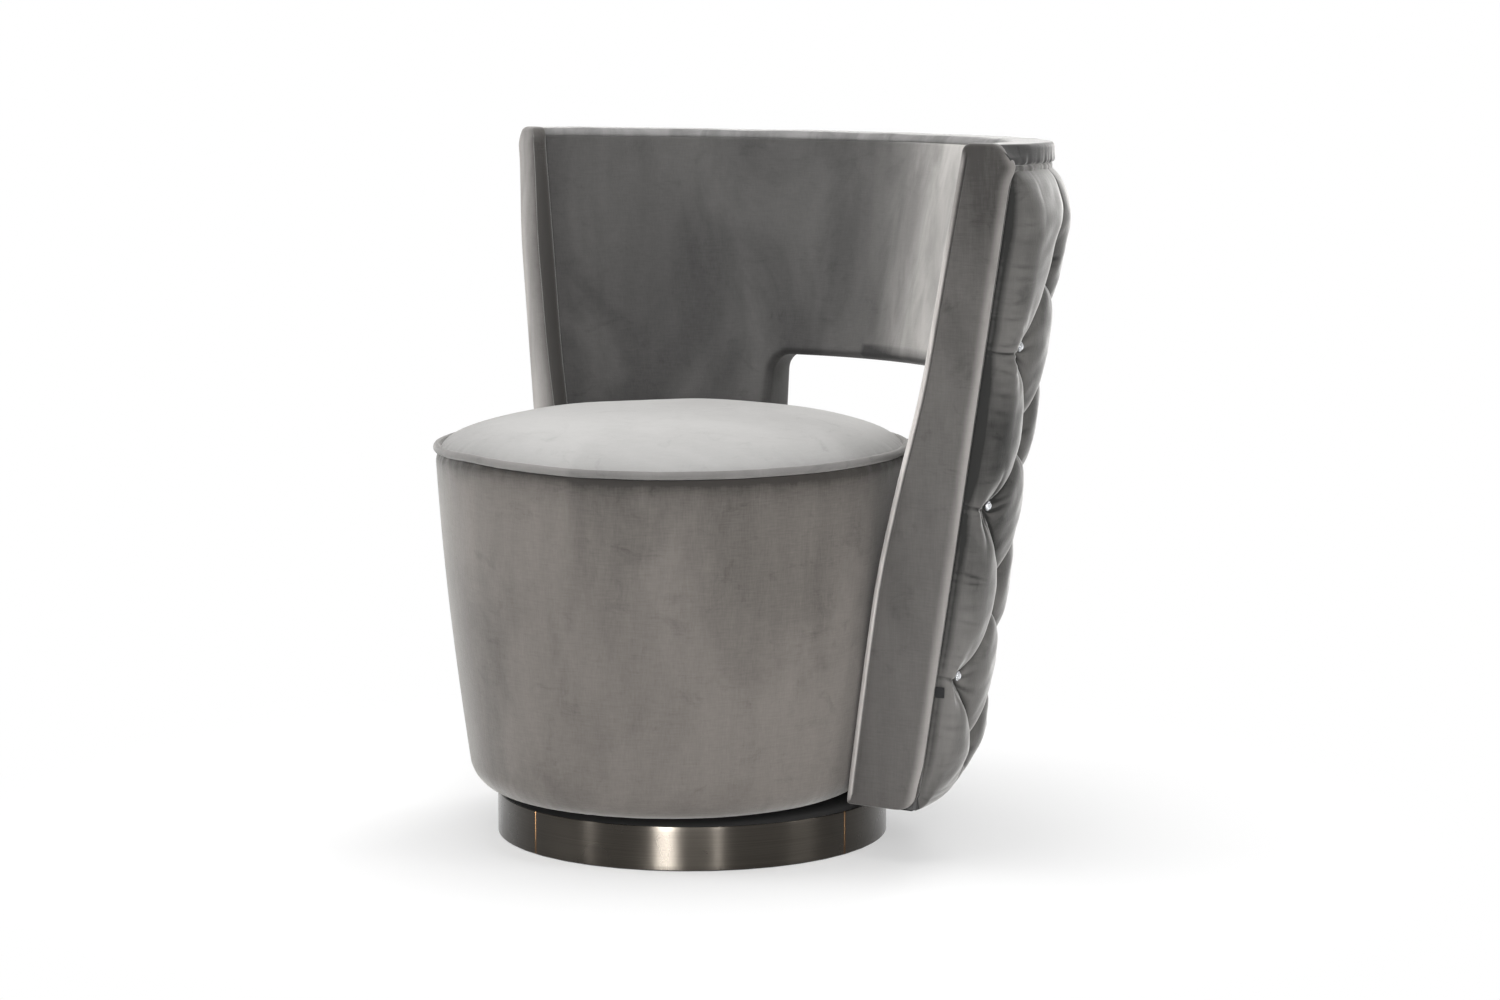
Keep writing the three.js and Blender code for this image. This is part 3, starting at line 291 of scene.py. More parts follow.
def floor_material():
    """Pale and matt near the chair, where it takes the shadow, and plain white further out."""
    material, nodes, links, bsdf = new_material("pale_floor")
    grey = (FLOOR_GREY, FLOOR_GREY, FLOOR_GREY, 1)
    set_inputs(bsdf, {"Base Color": grey, "Roughness": 1.0, "Specular IOR Level": 0.0})
    length = nodes.new("ShaderNodeVectorMath")
    length.operation = "LENGTH"
    links.new(nodes.new("ShaderNodeNewGeometry").outputs["Position"], length.inputs[0])
    limits = {"From Min": SHADOW_REACH[0], "From Max": SHADOW_REACH[1],
              "To Min": WHITE_SHARE[0], "To Max": WHITE_SHARE[1]}
    far = map_range(nodes, links, length.outputs["Value"], limits, smooth=True)
    white = nodes.new("ShaderNodeEmission")
    mix = nodes.new("ShaderNodeMixShader")
    links.new(math_node(nodes, links, "MULTIPLY", far, shows_background(nodes, links)), mix.inputs["Fac"])
    links.new(bsdf.outputs["BSDF"], mix.inputs[1])
    links.new(white.outputs["Emission"], mix.inputs[2])
    links.new(mix.outputs["Shader"], nodes["Material Output"].inputs["Surface"])
    return material


def add_floor():
    """A round floor just under the plinth's felt."""
    mesh = bpy.data.meshes.new("pale_floor")
    form = bmesh.new()
    bmesh.ops.create_circle(form, cap_ends=True, radius=FLOOR_RADIUS, segments=96)
    form.to_mesh(mesh)
    form.free()
    mesh.materials.append(floor_material())
    floor = bpy.data.objects.new("pale_floor", mesh)
    floor.location.z = -FLOOR_GAP
    bpy.context.scene.collection.objects.link(floor)


def add_lamp(name, place, target, size, power, card=False):
    """A soft rectangular lamp, given as width and height, that looks at a point.

    A card is seen only in reflections, as the white boards beside a photographer's table are."""
    data = bpy.data.lights.new(name, "AREA")
    data.shape = "RECTANGLE"
    data.size, data.size_y = size
    data.energy = power
    lamp = bpy.data.objects.new(name, data)
    lamp.location = place
    lamp.rotation_euler = (Vector(target) - Vector(place)).to_track_quat("-Z", "Y").to_euler()
    lamp.visible_diffuse = not card
    bpy.context.scene.collection.objects.link(lamp)


add_world()
add_floor()
for lamp_values in LAMPS:
    add_lamp(*lamp_values)
for card_values in CARDS:
    add_lamp(*card_values, card=True)
bpy.context.scene.view_settings.view_transform = "Standard"
print("floor, world,", len(LAMPS), "lamps and", len(CARDS), "cards made")

# %% [markdown]
# ## Velvet
#
# Velvet is a dense short pile. Seen from above its fibres swallow light, and at a grazing angle
# they catch it, so edges shine: that is the shader's own sheen. Where a hand has stroked the pile
# it leans another way and looks lighter or darker, in soft patches with clear edges.
# Folds get painted shade, and ridges are painted a little lighter.
#
# One node group makes all that varies over the cloth, and every velvet piece shares it. Patches,
# streaks and scuffs come from noise. Painted shade and painted light come from two values that each
# mesh stores at its points. The painted shade is about 1 deep in a fold or another shaded place and a
# little below 0 on a ridge. The painted light is above 0 where painted light or sheen brightens the
# velvet, and below 0 where painted shade darkens it.

# %% Velvet pile group
PATCH_SCALE = (6.5, 6.5, 4.0)
STREAK_SCALE = (30, 30, 5)
SCUFF_SCALE = (24, 24, 34)
THREAD_SCALES = ((700, 700, 70), (70, 70, 700))
FIBRE_SCALE = 900.0
DENT_SCALE = 60.0
LIGHT_PAINT_RANGE = (0.65, 0.45)


def stored(nodes, name):
    """A value that the mesh stores at its points; it reads 0 on a mesh without it."""
    node = nodes.new("ShaderNodeAttribute")
    node.attribute_name = name
    return node.outputs["Fac"]


def pile_shade(nodes, links, given, place):
    """How light the pile looks, with 0.5 as its middle, and the fine threads in it."""
    broad = noise(nodes, links, stretched(nodes, links, place, PATCH_SCALE), 1.0, 4.0, 0.55, 0.7)
    patches = map_range(nodes, links, broad, {"From Min": 0.36, "From Max": 0.62}, smooth=True)
    streaks = noise(nodes, links, stretched(nodes, links, place, STREAK_SCALE), 1.0, 4.0, 0.6, 0.6)
    rubbed = noise(nodes, links, stretched(nodes, links, place, SCUFF_SCALE), 1.0, 5.0, 0.7, 1.0)
    scuffs = map_range(nodes, links, rubbed, {"From Min": 0.54, "From Max": 0.74}, smooth=True)
    drawn = (stretched(nodes, links, place, scale) for scale in THREAD_SCALES)
    upright, level = (noise(nodes, links, vector, 1.0) for vector in drawn)
    threads = math_node(nodes, links, "MULTIPLY", math_node(nodes, links, "ADD", upright, level), 0.5)

    shade = 0.5
    for name, layer in {"Patches": patches, "Streaks": streaks, "Threads": threads}.items():
        centred = math_node(nodes, links, "SUBTRACT", layer, 0.5)
        weighed = math_node(nodes, links, "MULTIPLY", centred, given.outputs[name])
        shade = math_node(nodes, links, "ADD", weighed, shade)
    # Painted shade: the stored value darkens the pile in folds and other shaded places.
    for name, layer in {"Scuffs": scuffs, "Folds": stored(nodes, "painted_shade")}.items():
        weighed = math_node(nodes, links, "MULTIPLY", layer, given.outputs[name])
        shade = math_node(nodes, links, "SUBTRACT", shade, weighed)

    # Painted light and shade: the stored value lightens or darkens the pile, more in its light streaks.
    least, more = LIGHT_PAINT_RANGE
    bright = map_range(nodes, links, streaks, {"From Min": 0.30, "From Max": 0.68}, smooth=True)
    bright = math_node(nodes, links, "ADD", math_node(nodes, links, "MULTIPLY", bright, more), least)
    light_and_shade = math_node(nodes, links, "MULTIPLY", stored(nodes, "light_and_shade"), bright)
    shade = math_node(nodes, links, "ADD", shade, light_and_shade)
    return math_node(nodes, links, "MAXIMUM", shade, 0.0), threads


def velvet_pile_group():
    """Node group: Shade is how light the pile looks here, and Height is its relief."""
    tree = bpy.data.node_groups.new("velvet_pile", "ShaderNodeTree")
    nodes, links = tree.nodes, tree.links
    for name in ("Patches", "Streaks", "Scuffs", "Threads", "Folds"):
        socket = tree.interface.new_socket(name, in_out="INPUT", socket_type="NodeSocketFloat")
        socket.default_value = 0.5
    for name in ("Shade", "Height"):
        tree.interface.new_socket(name, in_out="OUTPUT", socket_type="NodeSocketFloat")
    given = nodes.new("NodeGroupInput")
    result = nodes.new("NodeGroupOutput")
    place = object_place(nodes)

    shade, threads = pile_shade(nodes, links, given, place)
    fine = math_node(nodes, links, "MULTIPLY", noise(nodes, links, place, FIBRE_SCALE, 1.0), 0.35)
    dents = math_node(nodes, links, "MULTIPLY", noise(nodes, links, place, DENT_SCALE, 4.0, 0.6), 0.9)
    height = math_node(nodes, links, "ADD", math_node(nodes, links, "ADD", fine, dents), threads)
    links.new(shade, result.inputs["Shade"])
    links.new(height, result.inputs["Height"])
    return tree


VELVET_PILE = velvet_pile_group()
print("velvet group:", len(VELVET_PILE.nodes), "nodes")

# %% Velvet materials
PILE_WEIGHTS = {"Patches": 0.45, "Streaks": 0.5, "Scuffs": 0.35, "Threads": 0.4, "Folds": 0.5}
PILE_RELIEF = 0.45
PILE_DEPTH = 0.5 * MM
SHEEN_TINT = (0.96, 0.95, 0.93, 1)


def velvet(name, dark, light, sheen=0.5, spread=0.4, **weights):
    """Velvet between two greys, and lighter than both where painted light is stored. The weights go to the
    pile group.
    """
    material, nodes, links, bsdf = new_material(name)
    pile = nodes.new("ShaderNodeGroup")
    pile.node_tree = VELVET_PILE
    set_inputs(pile, {**PILE_WEIGHTS, **weights})
    colour = mix_colour(nodes, links, pile.outputs["Shade"], dark, light, clamp=False)
    links.new(colour, bsdf.inputs["Base Color"])
    add_bump(nodes, links, bsdf, pile.outputs["Height"], PILE_RELIEF, PILE_DEPTH)
    set_inputs(bsdf, {"Roughness": 0.85, "Specular IOR Level": 0.12, "Sheen Weight": sheen,
                      "Sheen Roughness": spread, "Sheen Tint": SHEEN_TINT})
    return material


# One velvet in lit and shaded copies: the seat and the piping are painted lighter as painted light; the
# inside of the back, the tufting, the band and the lining are painted darker as painted shade.
velvet_drum = velvet("velvet_drum", (0.040, 0.035, 0.031), (0.275, 0.250, 0.228), sheen=0.9, Patches=0.24,
                     Streaks=0.30, Scuffs=0.13, Folds=0.6)
velvet_seat_lit = velvet("velvet_seat_lit", (0.20, 0.197, 0.193), (0.63, 0.623, 0.612), Patches=0.10, Streaks=0.08,
                     Scuffs=0.14, Threads=0.16)
velvet_piping_lit = velvet("velvet_piping_lit", (0.16, 0.155, 0.15), (0.28, 0.27, 0.26), Streaks=0.2)
velvet_back_shaded = velvet("velvet_back_shaded", (0.032, 0.031, 0.031), (0.126, 0.122, 0.118), sheen=0.9, Patches=0.40,
                     Streaks=0.35, Scuffs=0.14)
velvet_edge = velvet("velvet_edge", (0.044, 0.041, 0.038), (0.206, 0.195, 0.186), sheen=0.6, Patches=0.28,
                     Streaks=0.24, Scuffs=0.13)
velvet_tufted_shaded = velvet("velvet_tufted_shaded", (0.018, 0.018, 0.017), (0.114, 0.110, 0.105), sheen=0.95, spread=0.38,
                       Folds=0.9, Patches=0.75, Streaks=0.2, Scuffs=0.3)
velvet_lining_shaded = velvet("velvet_lining_shaded", (0.020, 0.019, 0.018), (0.060, 0.058, 0.055), sheen=0.3, Patches=0.2)
velvet_band_shaded = velvet("velvet_band_shaded", (0.022, 0.022, 0.022), (0.084, 0.083, 0.082), sheen=1.0, spread=0.22)
print("velvet materials:", 8)

# %% [markdown]
# ## The other finishes
#
# The band round the plinth is steel brushed along its length: the fine scratches spread a reflection
# up and down, so it shows tall light and dark stripes. Its colour is near black, a painted dark
# reflection of dark surroundings. Its grain is a noise stretched round the band.
# Bearing parts are zinc plated or polished. The carcass is plywood, raw where nobody looks and black
# where a gap could show it: that black is painted shade for the dark in the gaps. The linings are a
# thin black non-woven cloth. Each finish has its own small procedural pattern.

# %% Steel, zinc, plywood, cloth, felt and glass
GRAIN_ACROSS = 2600.0
GRAIN_ALONG = 6.0
WEAR_SCALE = 14.0
WEAR_SPAN = (0.3, 0.7)
WEAR_EFFECT = (0.8, 1.25)
PLYWOOD_SCALE = (90, 90, 7)
HAZE_SCALE = 300.0
HAZE = 0.05


def brushed_grain_group():
    """Node group: Scratch draws fine lines round an upright axis, and Wear soft handling marks."""
    tree = bpy.data.node_groups.new("brushed_grain", "ShaderNodeTree")
    nodes, links = tree.nodes, tree.links
    across = tree.interface.new_socket("Across", in_out="INPUT", socket_type="NodeSocketFloat")
    across.default_value = GRAIN_ACROSS
    for name in ("Scratch", "Wear"):
        tree.interface.new_socket(name, in_out="OUTPUT", socket_type="NodeSocketFloat")
    given = nodes.new("NodeGroupInput")
    result = nodes.new("NodeGroupOutput")
    place = object_place(nodes)
    split = nodes.new("ShaderNodeSeparateXYZ")
    links.new(place, split.inputs["Vector"])
    joined = nodes.new("ShaderNodeCombineXYZ")
    for axis, factor in {"X": GRAIN_ALONG, "Y": GRAIN_ALONG, "Z": given.outputs["Across"]}.items():
        links.new(math_node(nodes, links, "MULTIPLY", split.outputs[axis], factor), joined.inputs[axis])
    links.new(noise(nodes, links, joined.outputs["Vector"], 1.0, 3.0, 0.6), result.inputs["Scratch"])
    links.new(noise(nodes, links, place, WEAR_SCALE, 4.0, 0.6, 0.6), result.inputs["Wear"])
    return tree


def steel(name, dark, light, roughness, across=GRAIN_ACROSS, relief=0.05, anisotropy=0.0, tint=None):
    """Bare metal with brushed grain and faint handling marks. The tint colours its welded joints."""
    material, nodes, links, bsdf = new_material(name)
    grain = nodes.new("ShaderNodeGroup")
    grain.node_tree = BRUSHED_GRAIN
    grain.inputs["Across"].default_value = across
    colour = mix_colour(nodes, links, grain.outputs["Scratch"], dark, light)
    if tint:
        colour = mix_colour(nodes, links, stored(nodes, "joint"), colour, tint)
    links.new(colour, bsdf.inputs["Base Color"])
    least, most = (roughness * factor for factor in WEAR_EFFECT)
    limits = {"From Min": WEAR_SPAN[0], "From Max": WEAR_SPAN[1], "To Min": least, "To Max": most}
    links.new(map_range(nodes, links, grain.outputs["Wear"], limits), bsdf.inputs["Roughness"])
    add_bump(nodes, links, bsdf, grain.outputs["Scratch"], relief, 0.05 * MM)
    set_inputs(bsdf, {"Metallic": 1.0, "Anisotropic": anisotropy, "Anisotropic Rotation": 0.25})
    if anisotropy:
        tangent = nodes.new("ShaderNodeTangent")
        tangent.direction_type = "RADIAL"
        tangent.axis = "Z"
        links.new(tangent.outputs["Tangent"], bsdf.inputs["Tangent"])
    return material


def plain_cloth(name, dark, light, thread):
    """Pressed or woven cloth: two greys and a relief at the size of its threads."""
    material, nodes, links, bsdf = new_material(name)
    threads = noise(nodes, links, object_place(nodes), 1 / thread, 3.0, 0.7)
    links.new(mix_colour(nodes, links, threads, dark, light), bsdf.inputs["Base Color"])
    add_bump(nodes, links, bsdf, threads, 0.4, thread)
    set_inputs(bsdf, {"Roughness": 0.95, "Specular IOR Level": 0.2})
    return material


def plywood(name, dark, light):
    """Plywood: long grain on the faces, drawn out along Z, with soft dark pores."""
    material, nodes, links, bsdf = new_material(name)
    drawn = stretched(nodes, links, object_place(nodes), PLYWOOD_SCALE)
    grain = noise(nodes, links, drawn, 1.0, 5.0, 0.65, 0.4)
    links.new(mix_colour(nodes, links, grain, dark, light), bsdf.inputs["Base Color"])
    add_bump(nodes, links, bsdf, grain, 0.3, 0.2 * MM)
    set_inputs(bsdf, {"Roughness": 0.65})
    return material


def clear_crystal():
    """Clear cut glass with a trace of haze."""
    material, nodes, links, bsdf = new_material("clear_crystal")
    grain = noise(nodes, links, object_place(nodes), HAZE_SCALE)
    haze = map_range(nodes, links, grain, {"To Min": 0.0, "To Max": HAZE})
    links.new(haze, bsdf.inputs["Roughness"])
    set_inputs(bsdf, {"Base Color": (0.97, 0.98, 1.0, 1), "Transmission Weight": 0.75, "IOR": 1.62})
    return material


BRUSHED_GRAIN = brushed_grain_group()
# The band's steel colour is near black: a painted dark reflection of dark surroundings, under the bright
# stripes from the cards.
band_steel_dark_reflection = steel("band_steel_dark_reflection", (0.024, 0.021, 0.018), (0.072, 0.065, 0.056), 0.28, anisotropy=0.97,
                   relief=0.22, tint=(0.10, 0.050, 0.018))
zinc_steel = steel("zinc_steel", (0.42, 0.43, 0.45), (0.60, 0.61, 0.63), 0.40, across=400.0)
ball_steel = steel("ball_steel", (0.60, 0.60, 0.61), (0.74, 0.74, 0.75), 0.14, across=900.0)
raw_plywood = plywood("raw_plywood", (0.36, 0.23, 0.12), (0.66, 0.50, 0.32))
# Black board is painted shade: it stands in for the dark seen in the gaps of the carcass and plinth.
black_shade_board = plywood("black_shade_board", (0.006, 0.006, 0.006), (0.016, 0.015, 0.014))
black_lining = plain_cloth("black_lining", (0.006, 0.006, 0.007), (0.022, 0.022, 0.024), 0.8 * MM)
grey_felt = plain_cloth("grey_felt", (0.06, 0.06, 0.065), (0.16, 0.16, 0.17), 1.5 * MM)
seat_webbing = plain_cloth("seat_webbing", (0.02, 0.02, 0.022), (0.07, 0.07, 0.075), 1.2 * MM)
open_foam = plain_cloth("open_foam", (0.62, 0.56, 0.40), (0.82, 0.77, 0.62), 2.0 * MM)
crystal_glass = clear_crystal()
print("other finishes made:", 10)

# %% [markdown]
# ## Building blocks for upholstery
#
# Most pieces here are a sheet laid over a grid of points, a cord that follows a line, or a padded
# board. Points are worked out with numpy, row by row, and then joined with four-sided faces.
# Small slow waves keep long velvet faces from looking machined.

# %% Sheets, cords and boards
SEED = 20
WAVE_COUNT = 7
WAVE_RANGES = ((0, math.pi), (0, 6.3), (0.6, 1.7))
WAVE_SUM = 4.0
WAVE_RADIUS = 0.4
RIDGE_LEVEL = -0.4


def slow_waves(x, y, wave):
    """Soft irregular waves over two coordinates. A wave is its size, its length from crest to crest
    and the number of its random draw."""
    size, length, draw = wave
    random = np.random.default_rng(SEED + draw)
    total = np.zeros(np.broadcast(x, y).shape)
    for _ in range(WAVE_COUNT):
        direction, phase, scale = (random.uniform(*limits) for limits in WAVE_RANGES)
        along = x * math.cos(direction) + y * math.sin(direction)
        total += np.sin(2 * math.pi * along * scale / length + phase)
    return size * total / WAVE_SUM


def bell(distance, width):
    """1 at a distance of 0, falling smoothly to almost nothing at twice the width."""
    return np.exp(-(distance / width) ** 2)


def rise(distance, width):
    """How far padding has risen at a distance from a sewn edge: 0 at the edge, 1 past `width`."""
    return np.sqrt(1 - (1 - np.clip(distance / width, 0, 1)) ** 2)


def fade_in(value, start, end):
    """A smooth step from 0 to 1."""
    share = np.clip((value - start) / (end - start), 0, 1)
    return share * share * (3 - 2 * share)


def hollow(surface, passes, scale):
    """1 in the hollows of a height field and a little below 0 on its ridges, by a blurred copy of it."""
    soft = surface
    for _ in range(passes):
        edge = np.pad(soft, 1, mode="edge")
        soft = (soft + edge[:-2, 1:-1] + edge[2:, 1:-1] + edge[1:-1, :-2] + edge[1:-1, 2:]) / 5
    return np.clip((soft - surface) / scale, RIDGE_LEVEL, 1)


def quarter(start, end, steps):
    """Angles of a rounded corner, in radians, from two angles in degrees."""
    return np.radians(np.linspace(start, end, steps + 1))


def bend(centre, radius, start, end, steps):
    """Points of a rounded corner between two angles in degrees, as rows of two coordinates."""
    turn = quarter(start, end, steps)
    return np.asarray(centre) + radius * np.stack([np.cos(turn), np.sin(turn)], axis=-1)


def edged_steps(low, high, edge, first, last, step):
    """Even steps from `low + first` to `high - last`, with the closer steps of `edge` at both ends."""
    return np.concatenate([low + edge, np.arange(low + first, high - last, step), (high - edge)[::-1]])


def grid_faces(rows, columns, closed=False):
    """Four-sided faces over rows x columns points. Closed joins the last column to the first."""
    row = np.arange(rows - 1)[:, None] * columns
    column = np.arange(columns if closed else columns - 1)[None, :]
    after = (column + 1) % columns
    faces = np.stack([row + column, row + after, row + columns + after, row + columns + column], axis=-1)
    return faces.reshape(-1, 4)


def capped_rows(rows, columns, closed=True):
    """Faces over rows of points, and one face over the first row and one over the last."""
    ring = list(range(columns))
    faces = [list(face) for face in grid_faces(rows, columns, closed)]
    return faces + [ring[::-1], [(rows - 1) * columns + k for k in ring]]


def fan(ring, tip):
    """Triangles from a closed ring of points to one tip."""
    ring = list(ring)
    return [[a, b, tip] for a, b in zip(ring, ring[1:] + ring[:1])]


def add_piece(name, points, faces, material, slot="velvet", replaces=(), body="seat_unit", marks=None):
    """Makes a smooth-shaded mesh piece that rides on a body and stands for the nodes it replaces.

    Marks are the values that the mesh stores at its points, by name."""
    mesh = bpy.data.meshes.new(name)
    mesh.from_pydata(np.asarray(points).reshape(-1, 3).tolist(), [], [list(face) for face in faces])
    for title, values in (marks or {}).items():
        mesh.attributes.new(title, "FLOAT", "POINT").data.foreach_set("value", np.ravel(values))
    mesh.validate()
    mesh.shade_smooth()
    mesh.materials.append(material)
    piece = bpy.data.objects.new(name, mesh)
    bpy.context.scene.collection.objects.link(piece)
    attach(piece, body)
    if replaces:
        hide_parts(*replaces)
    print(f"{name}: {len(mesh.vertices)} points, {len(mesh.polygons)} faces")
    return piece


def tube_rings(line, radius, sides, closed):
    """Rings of points round a line. The line is n x 3 and the radius one number or n numbers."""
    line = np.asarray(line, float)
    if closed:
        along = np.roll(line, -1, axis=0) - np.roll(line, 1, axis=0)
    else:
        along = np.gradient(line, axis=0)
    along /= np.linalg.norm(along, axis=1, keepdims=True)
    outward = line - np.array([0, TUB_Y, 0])
    outward[:, 2] = 0
    outward -= along * (outward * along).sum(1, keepdims=True)
    outward /= np.linalg.norm(outward, axis=1, keepdims=True)
    side = np.cross(along, outward)
    turn = np.linspace(0, 2 * math.pi, sides, endpoint=False)
    reach = np.broadcast_to(np.asarray(radius, float), len(line))[:, None, None]
    circle = outward[:, None] * np.cos(turn)[None, :, None] + side[:, None] * np.sin(turn)[None, :, None]
    return line[:, None] + circle * reach


def add_cord(name, line, radius, material, sides=14, closed=False, **options):
    """A piping cord along a line. One that isn't closed gets a flat end at each side."""
    rings = tube_rings(line, radius, sides, closed)
    count = len(rings) * sides
    if closed:
        add_piece(name, rings, grid_faces(len(rings) + 1, sides, closed=True) % count, material, **options)
        return
    faces = [list(face) for face in grid_faces(len(rings), sides, closed=True)]
    faces += [face[::-1] for face in fan(range(sides), count)]
    faces += fan(range(count - sides, count), count + 1)
    points = np.concatenate([rings.reshape(-1, 3), [rings[0].mean(0), rings[-1].mean(0)]])
    add_piece(name, points, faces, material, **options)


print("bell at its own width:", round(float(bell(1.0, 1.0)), 2))

# %% [markdown]
# ## The drum
#
# The drum is a plywood ring wrapped in wadding and velvet. The velvet is pulled down and turned
# under at the foot, so the bottom edge is round and slightly strained. It is made as a surface of
# revolution, because the real one is sewn as one tube: only shallow pulls at the rims break the round,
# and the seat's seam, which hand sewing let down a little in front and drew up to its left.
# Painted shade darkens the velvet just below that seam, where the piping overhangs it.

# %% Drum cover
DRUM_COLUMNS = 360
HEM_WIDTH = 34 * MM
LIP = 2 * MM
LIP_DEPTH = 8 * MM
PULL_HEIGHTS = (22 * MM, 14 * MM)
DRUM_EASE = (0.5 * MM, 0.16, 0)
DRUM_PULLS = (0.35 * MM, 0.022, 1)
GROOVE_WAVES = (0.25, 0.02, 20)
RIM_GROOVE = 3.0 * MM
GROOVE_WIDTH = 5 * MM
DRUM_SEAM_SHADE = 1.2
DRUM_SEAM_SHADE_REACH = 11 * MM
FRONT_ANGLE = 131.6
SAG = (2.2 * MM, -2, 36)
LIFT = (2.6 * MM, 56, 17)
SAG_REACH = 45 * MM


def rim_sag(angle):
    """How far hand sewing pulled the seat's seam up or down: low at the front, high to its left."""
    turn = (np.asarray(angle) - FRONT_ANGLE + 180) % 360 - 180
    lifted, sagged = (size * bell(turn - place, width) for size, place, width in (LIFT, SAG))
    return lifted - sagged


def drum_radius(height):
    """The drum's slightly bellied side."""
    share = (np.asarray(height) - DRUM_BASE) / (DRUM_TOP - DRUM_BASE)
    cone = DRUM_FOOT_RADIUS + (DRUM_TOP_RADIUS - DRUM_FOOT_RADIUS) * share
    return cone + DRUM_BELLY * np.sin(math.pi * np.clip(share, 0, 1))


def drum_profile():
    """Radius and height from the hem under the drum, round the foot, up the side and over the rim."""
    foot = bend((0, DRUM_BASE + DRUM_CORNER), DRUM_CORNER, -90, 0, 14)
    foot[:, 0] += drum_radius(foot[:, 1]) - DRUM_CORNER
    side_z = np.linspace(foot[-1, 1], DRUM_TOP - LIP, 110)[1:]
    side = np.stack([drum_radius(side_z), side_z], axis=-1)
    lip = bend((drum_radius(DRUM_TOP) - LIP, DRUM_TOP - LIP), LIP, 0, 90, 5)[1:]
    hem = (foot[0, 0] - HEM_WIDTH, DRUM_BASE + 0.2 * MM)
    return np.concatenate([[hem], foot, side, lip, [(lip[-1, 0] - LIP_DEPTH, DRUM_TOP)]]).T


def add_drum_cover():
    """Velvet round the drum: slow waves, short pulls at the foot and the rim, and the seam's groove."""
    radius, height = drum_profile()
    angle = np.linspace(-180, 180, DRUM_COLUMNS, endpoint=False)[None, :]
    radius, height = radius[:, None], height[:, None] + 0 * angle
    arc = np.radians(angle) * DRUM_TOP_RADIUS
    above, below = np.maximum(height - DRUM_BASE, 0), np.maximum(DRUM_TOP - height, 0)
    strained = np.exp(-above / PULL_HEIGHTS[0]) + np.exp(-below / PULL_HEIGHTS[1])
    ease = slow_waves(arc, height * 0.6, DRUM_EASE) + strained * slow_waves(arc, height * 0.2, DRUM_PULLS)
    groove = RIM_GROOVE * bell(below, GROOVE_WIDTH) * (1 + slow_waves(arc, 0 * arc, GROOVE_WAVES))
    sagged = height + rim_sag(angle) * np.exp(-below / SAG_REACH)
    points = round_point(angle, radius + ease - groove, sagged)
    # Painted shade just below the seat's seam, where the piping overhangs the drum.
    shaded = DRUM_SEAM_SHADE * np.exp(-below / DRUM_SEAM_SHADE_REACH)
    piece = add_piece("drum_velvet", points, grid_faces(len(radius), DRUM_COLUMNS, closed=True), velvet_drum,
                      replaces=("drum_cover",), marks={"painted_shade": shaded})


add_drum_cover()

# %% [markdown]
# ## The seat cushion and its piping
#
# The seat is a round cushion crowned over foam and webbing. Its cover is full near the rim and
# almost level in the middle. Where it is sewn to the piping the extra cloth gathers into short,
# slanting puckers. The crown comes from one curve, and each pucker is a small groove added to it.
# Painted shade darkens it along the rim, most on the side turned away from the front.

# %% Seat cushion
SEAT_RINGS = 90
SEAT_COLUMNS = 540
CROWN_POWERS = (2.8, 0.62)
EDGE_TUCK = 1.5 * MM
SEAT_EASE = (0.9 * MM, 0.20, 3)
PUCKER_COUNT = 74
RIM_SHADE = 0.9
RIM_REACH = 34 * MM


def seat_height(share):
    """Height of the crown over the piping at a share of the seat's radius."""
    flat, full = CROWN_POWERS
    return SEAT_CROWN * (1 - np.clip(share, 0, 1) ** flat) ** full


def seat_puckers(angle, inset):
    """Depth of the puckers at an angle and a distance in from the piping."""
    random = np.random.default_rng(SEED + 2)
    depth = np.zeros(np.broadcast(angle, inset).shape)
    even = np.linspace(-180, 180, PUCKER_COUNT, endpoint=False)
    for start in even + random.uniform(-2.0, 2.0, PUCKER_COUNT):
        width, reach = random.uniform(0.5, 1.3), random.uniform(6, 17) * MM
        slant, size = random.uniform(-90, 130), random.uniform(0.15, 1.0) * MM
        away = (angle - start - slant * inset + 180) % 360 - 180
        depth += size * bell(away, width) * bell(inset, reach)
    return depth


def add_seat_cushion():
    """Rings of points from the middle to the piping, a short hem below it, and a fan over the middle."""
    share = np.sin(np.linspace(0.004, math.pi / 2, SEAT_RINGS))[:, None]
    angle = np.linspace(-180, 180, SEAT_COLUMNS, endpoint=False)[None, :]
    inset = (1 - share) * SEAT_RADIUS
    across = share * np.sin(np.radians(angle)) * SEAT_RADIUS
    along = share * np.cos(np.radians(angle)) * SEAT_RADIUS
    height = PIPING_HEIGHT - EDGE_TUCK * share ** 40 + seat_height(share) - seat_puckers(angle, inset)
    height = height + slow_waves(across, along, SEAT_EASE) + rim_sag(angle) * share ** 6
    points = round_point(angle, share * SEAT_RADIUS, height)
    hem = points[-1:].copy()
    hem[..., 2] = DRUM_TOP + rim_sag(angle)
    crown = points[0].mean(0, keepdims=True)
    rows = np.concatenate([points, hem])
    faces = [list(face[::-1]) for face in grid_faces(len(rows), SEAT_COLUMNS, closed=True)]
    faces += fan(range(SEAT_COLUMNS), len(rows) * SEAT_COLUMNS)
    # Painted shade along the rim, strongest on the side turned away from the front.
    turned_away = ((1 - np.cos(np.radians(angle - FRONT_ANGLE))) / 2) ** 0.7
    shaded = RIM_SHADE * turned_away * bell(inset, RIM_REACH)
    shaded = np.append(np.concatenate([shaded, shaded[-1:]]), 0.0)
    piece = add_piece("seat_cushion", np.concatenate([rows.reshape(-1, 3), crown]), faces, velvet_seat_lit,
                      replaces=("seat_cover", "seat_foam"), marks={"painted_shade": shaded})


add_seat_cushion()

# %% Seat piping
PIPING_DRIFT = (0.35 * MM, 0.12, 4)
PIPING_GATHER = (0.03, 0.018, 5)


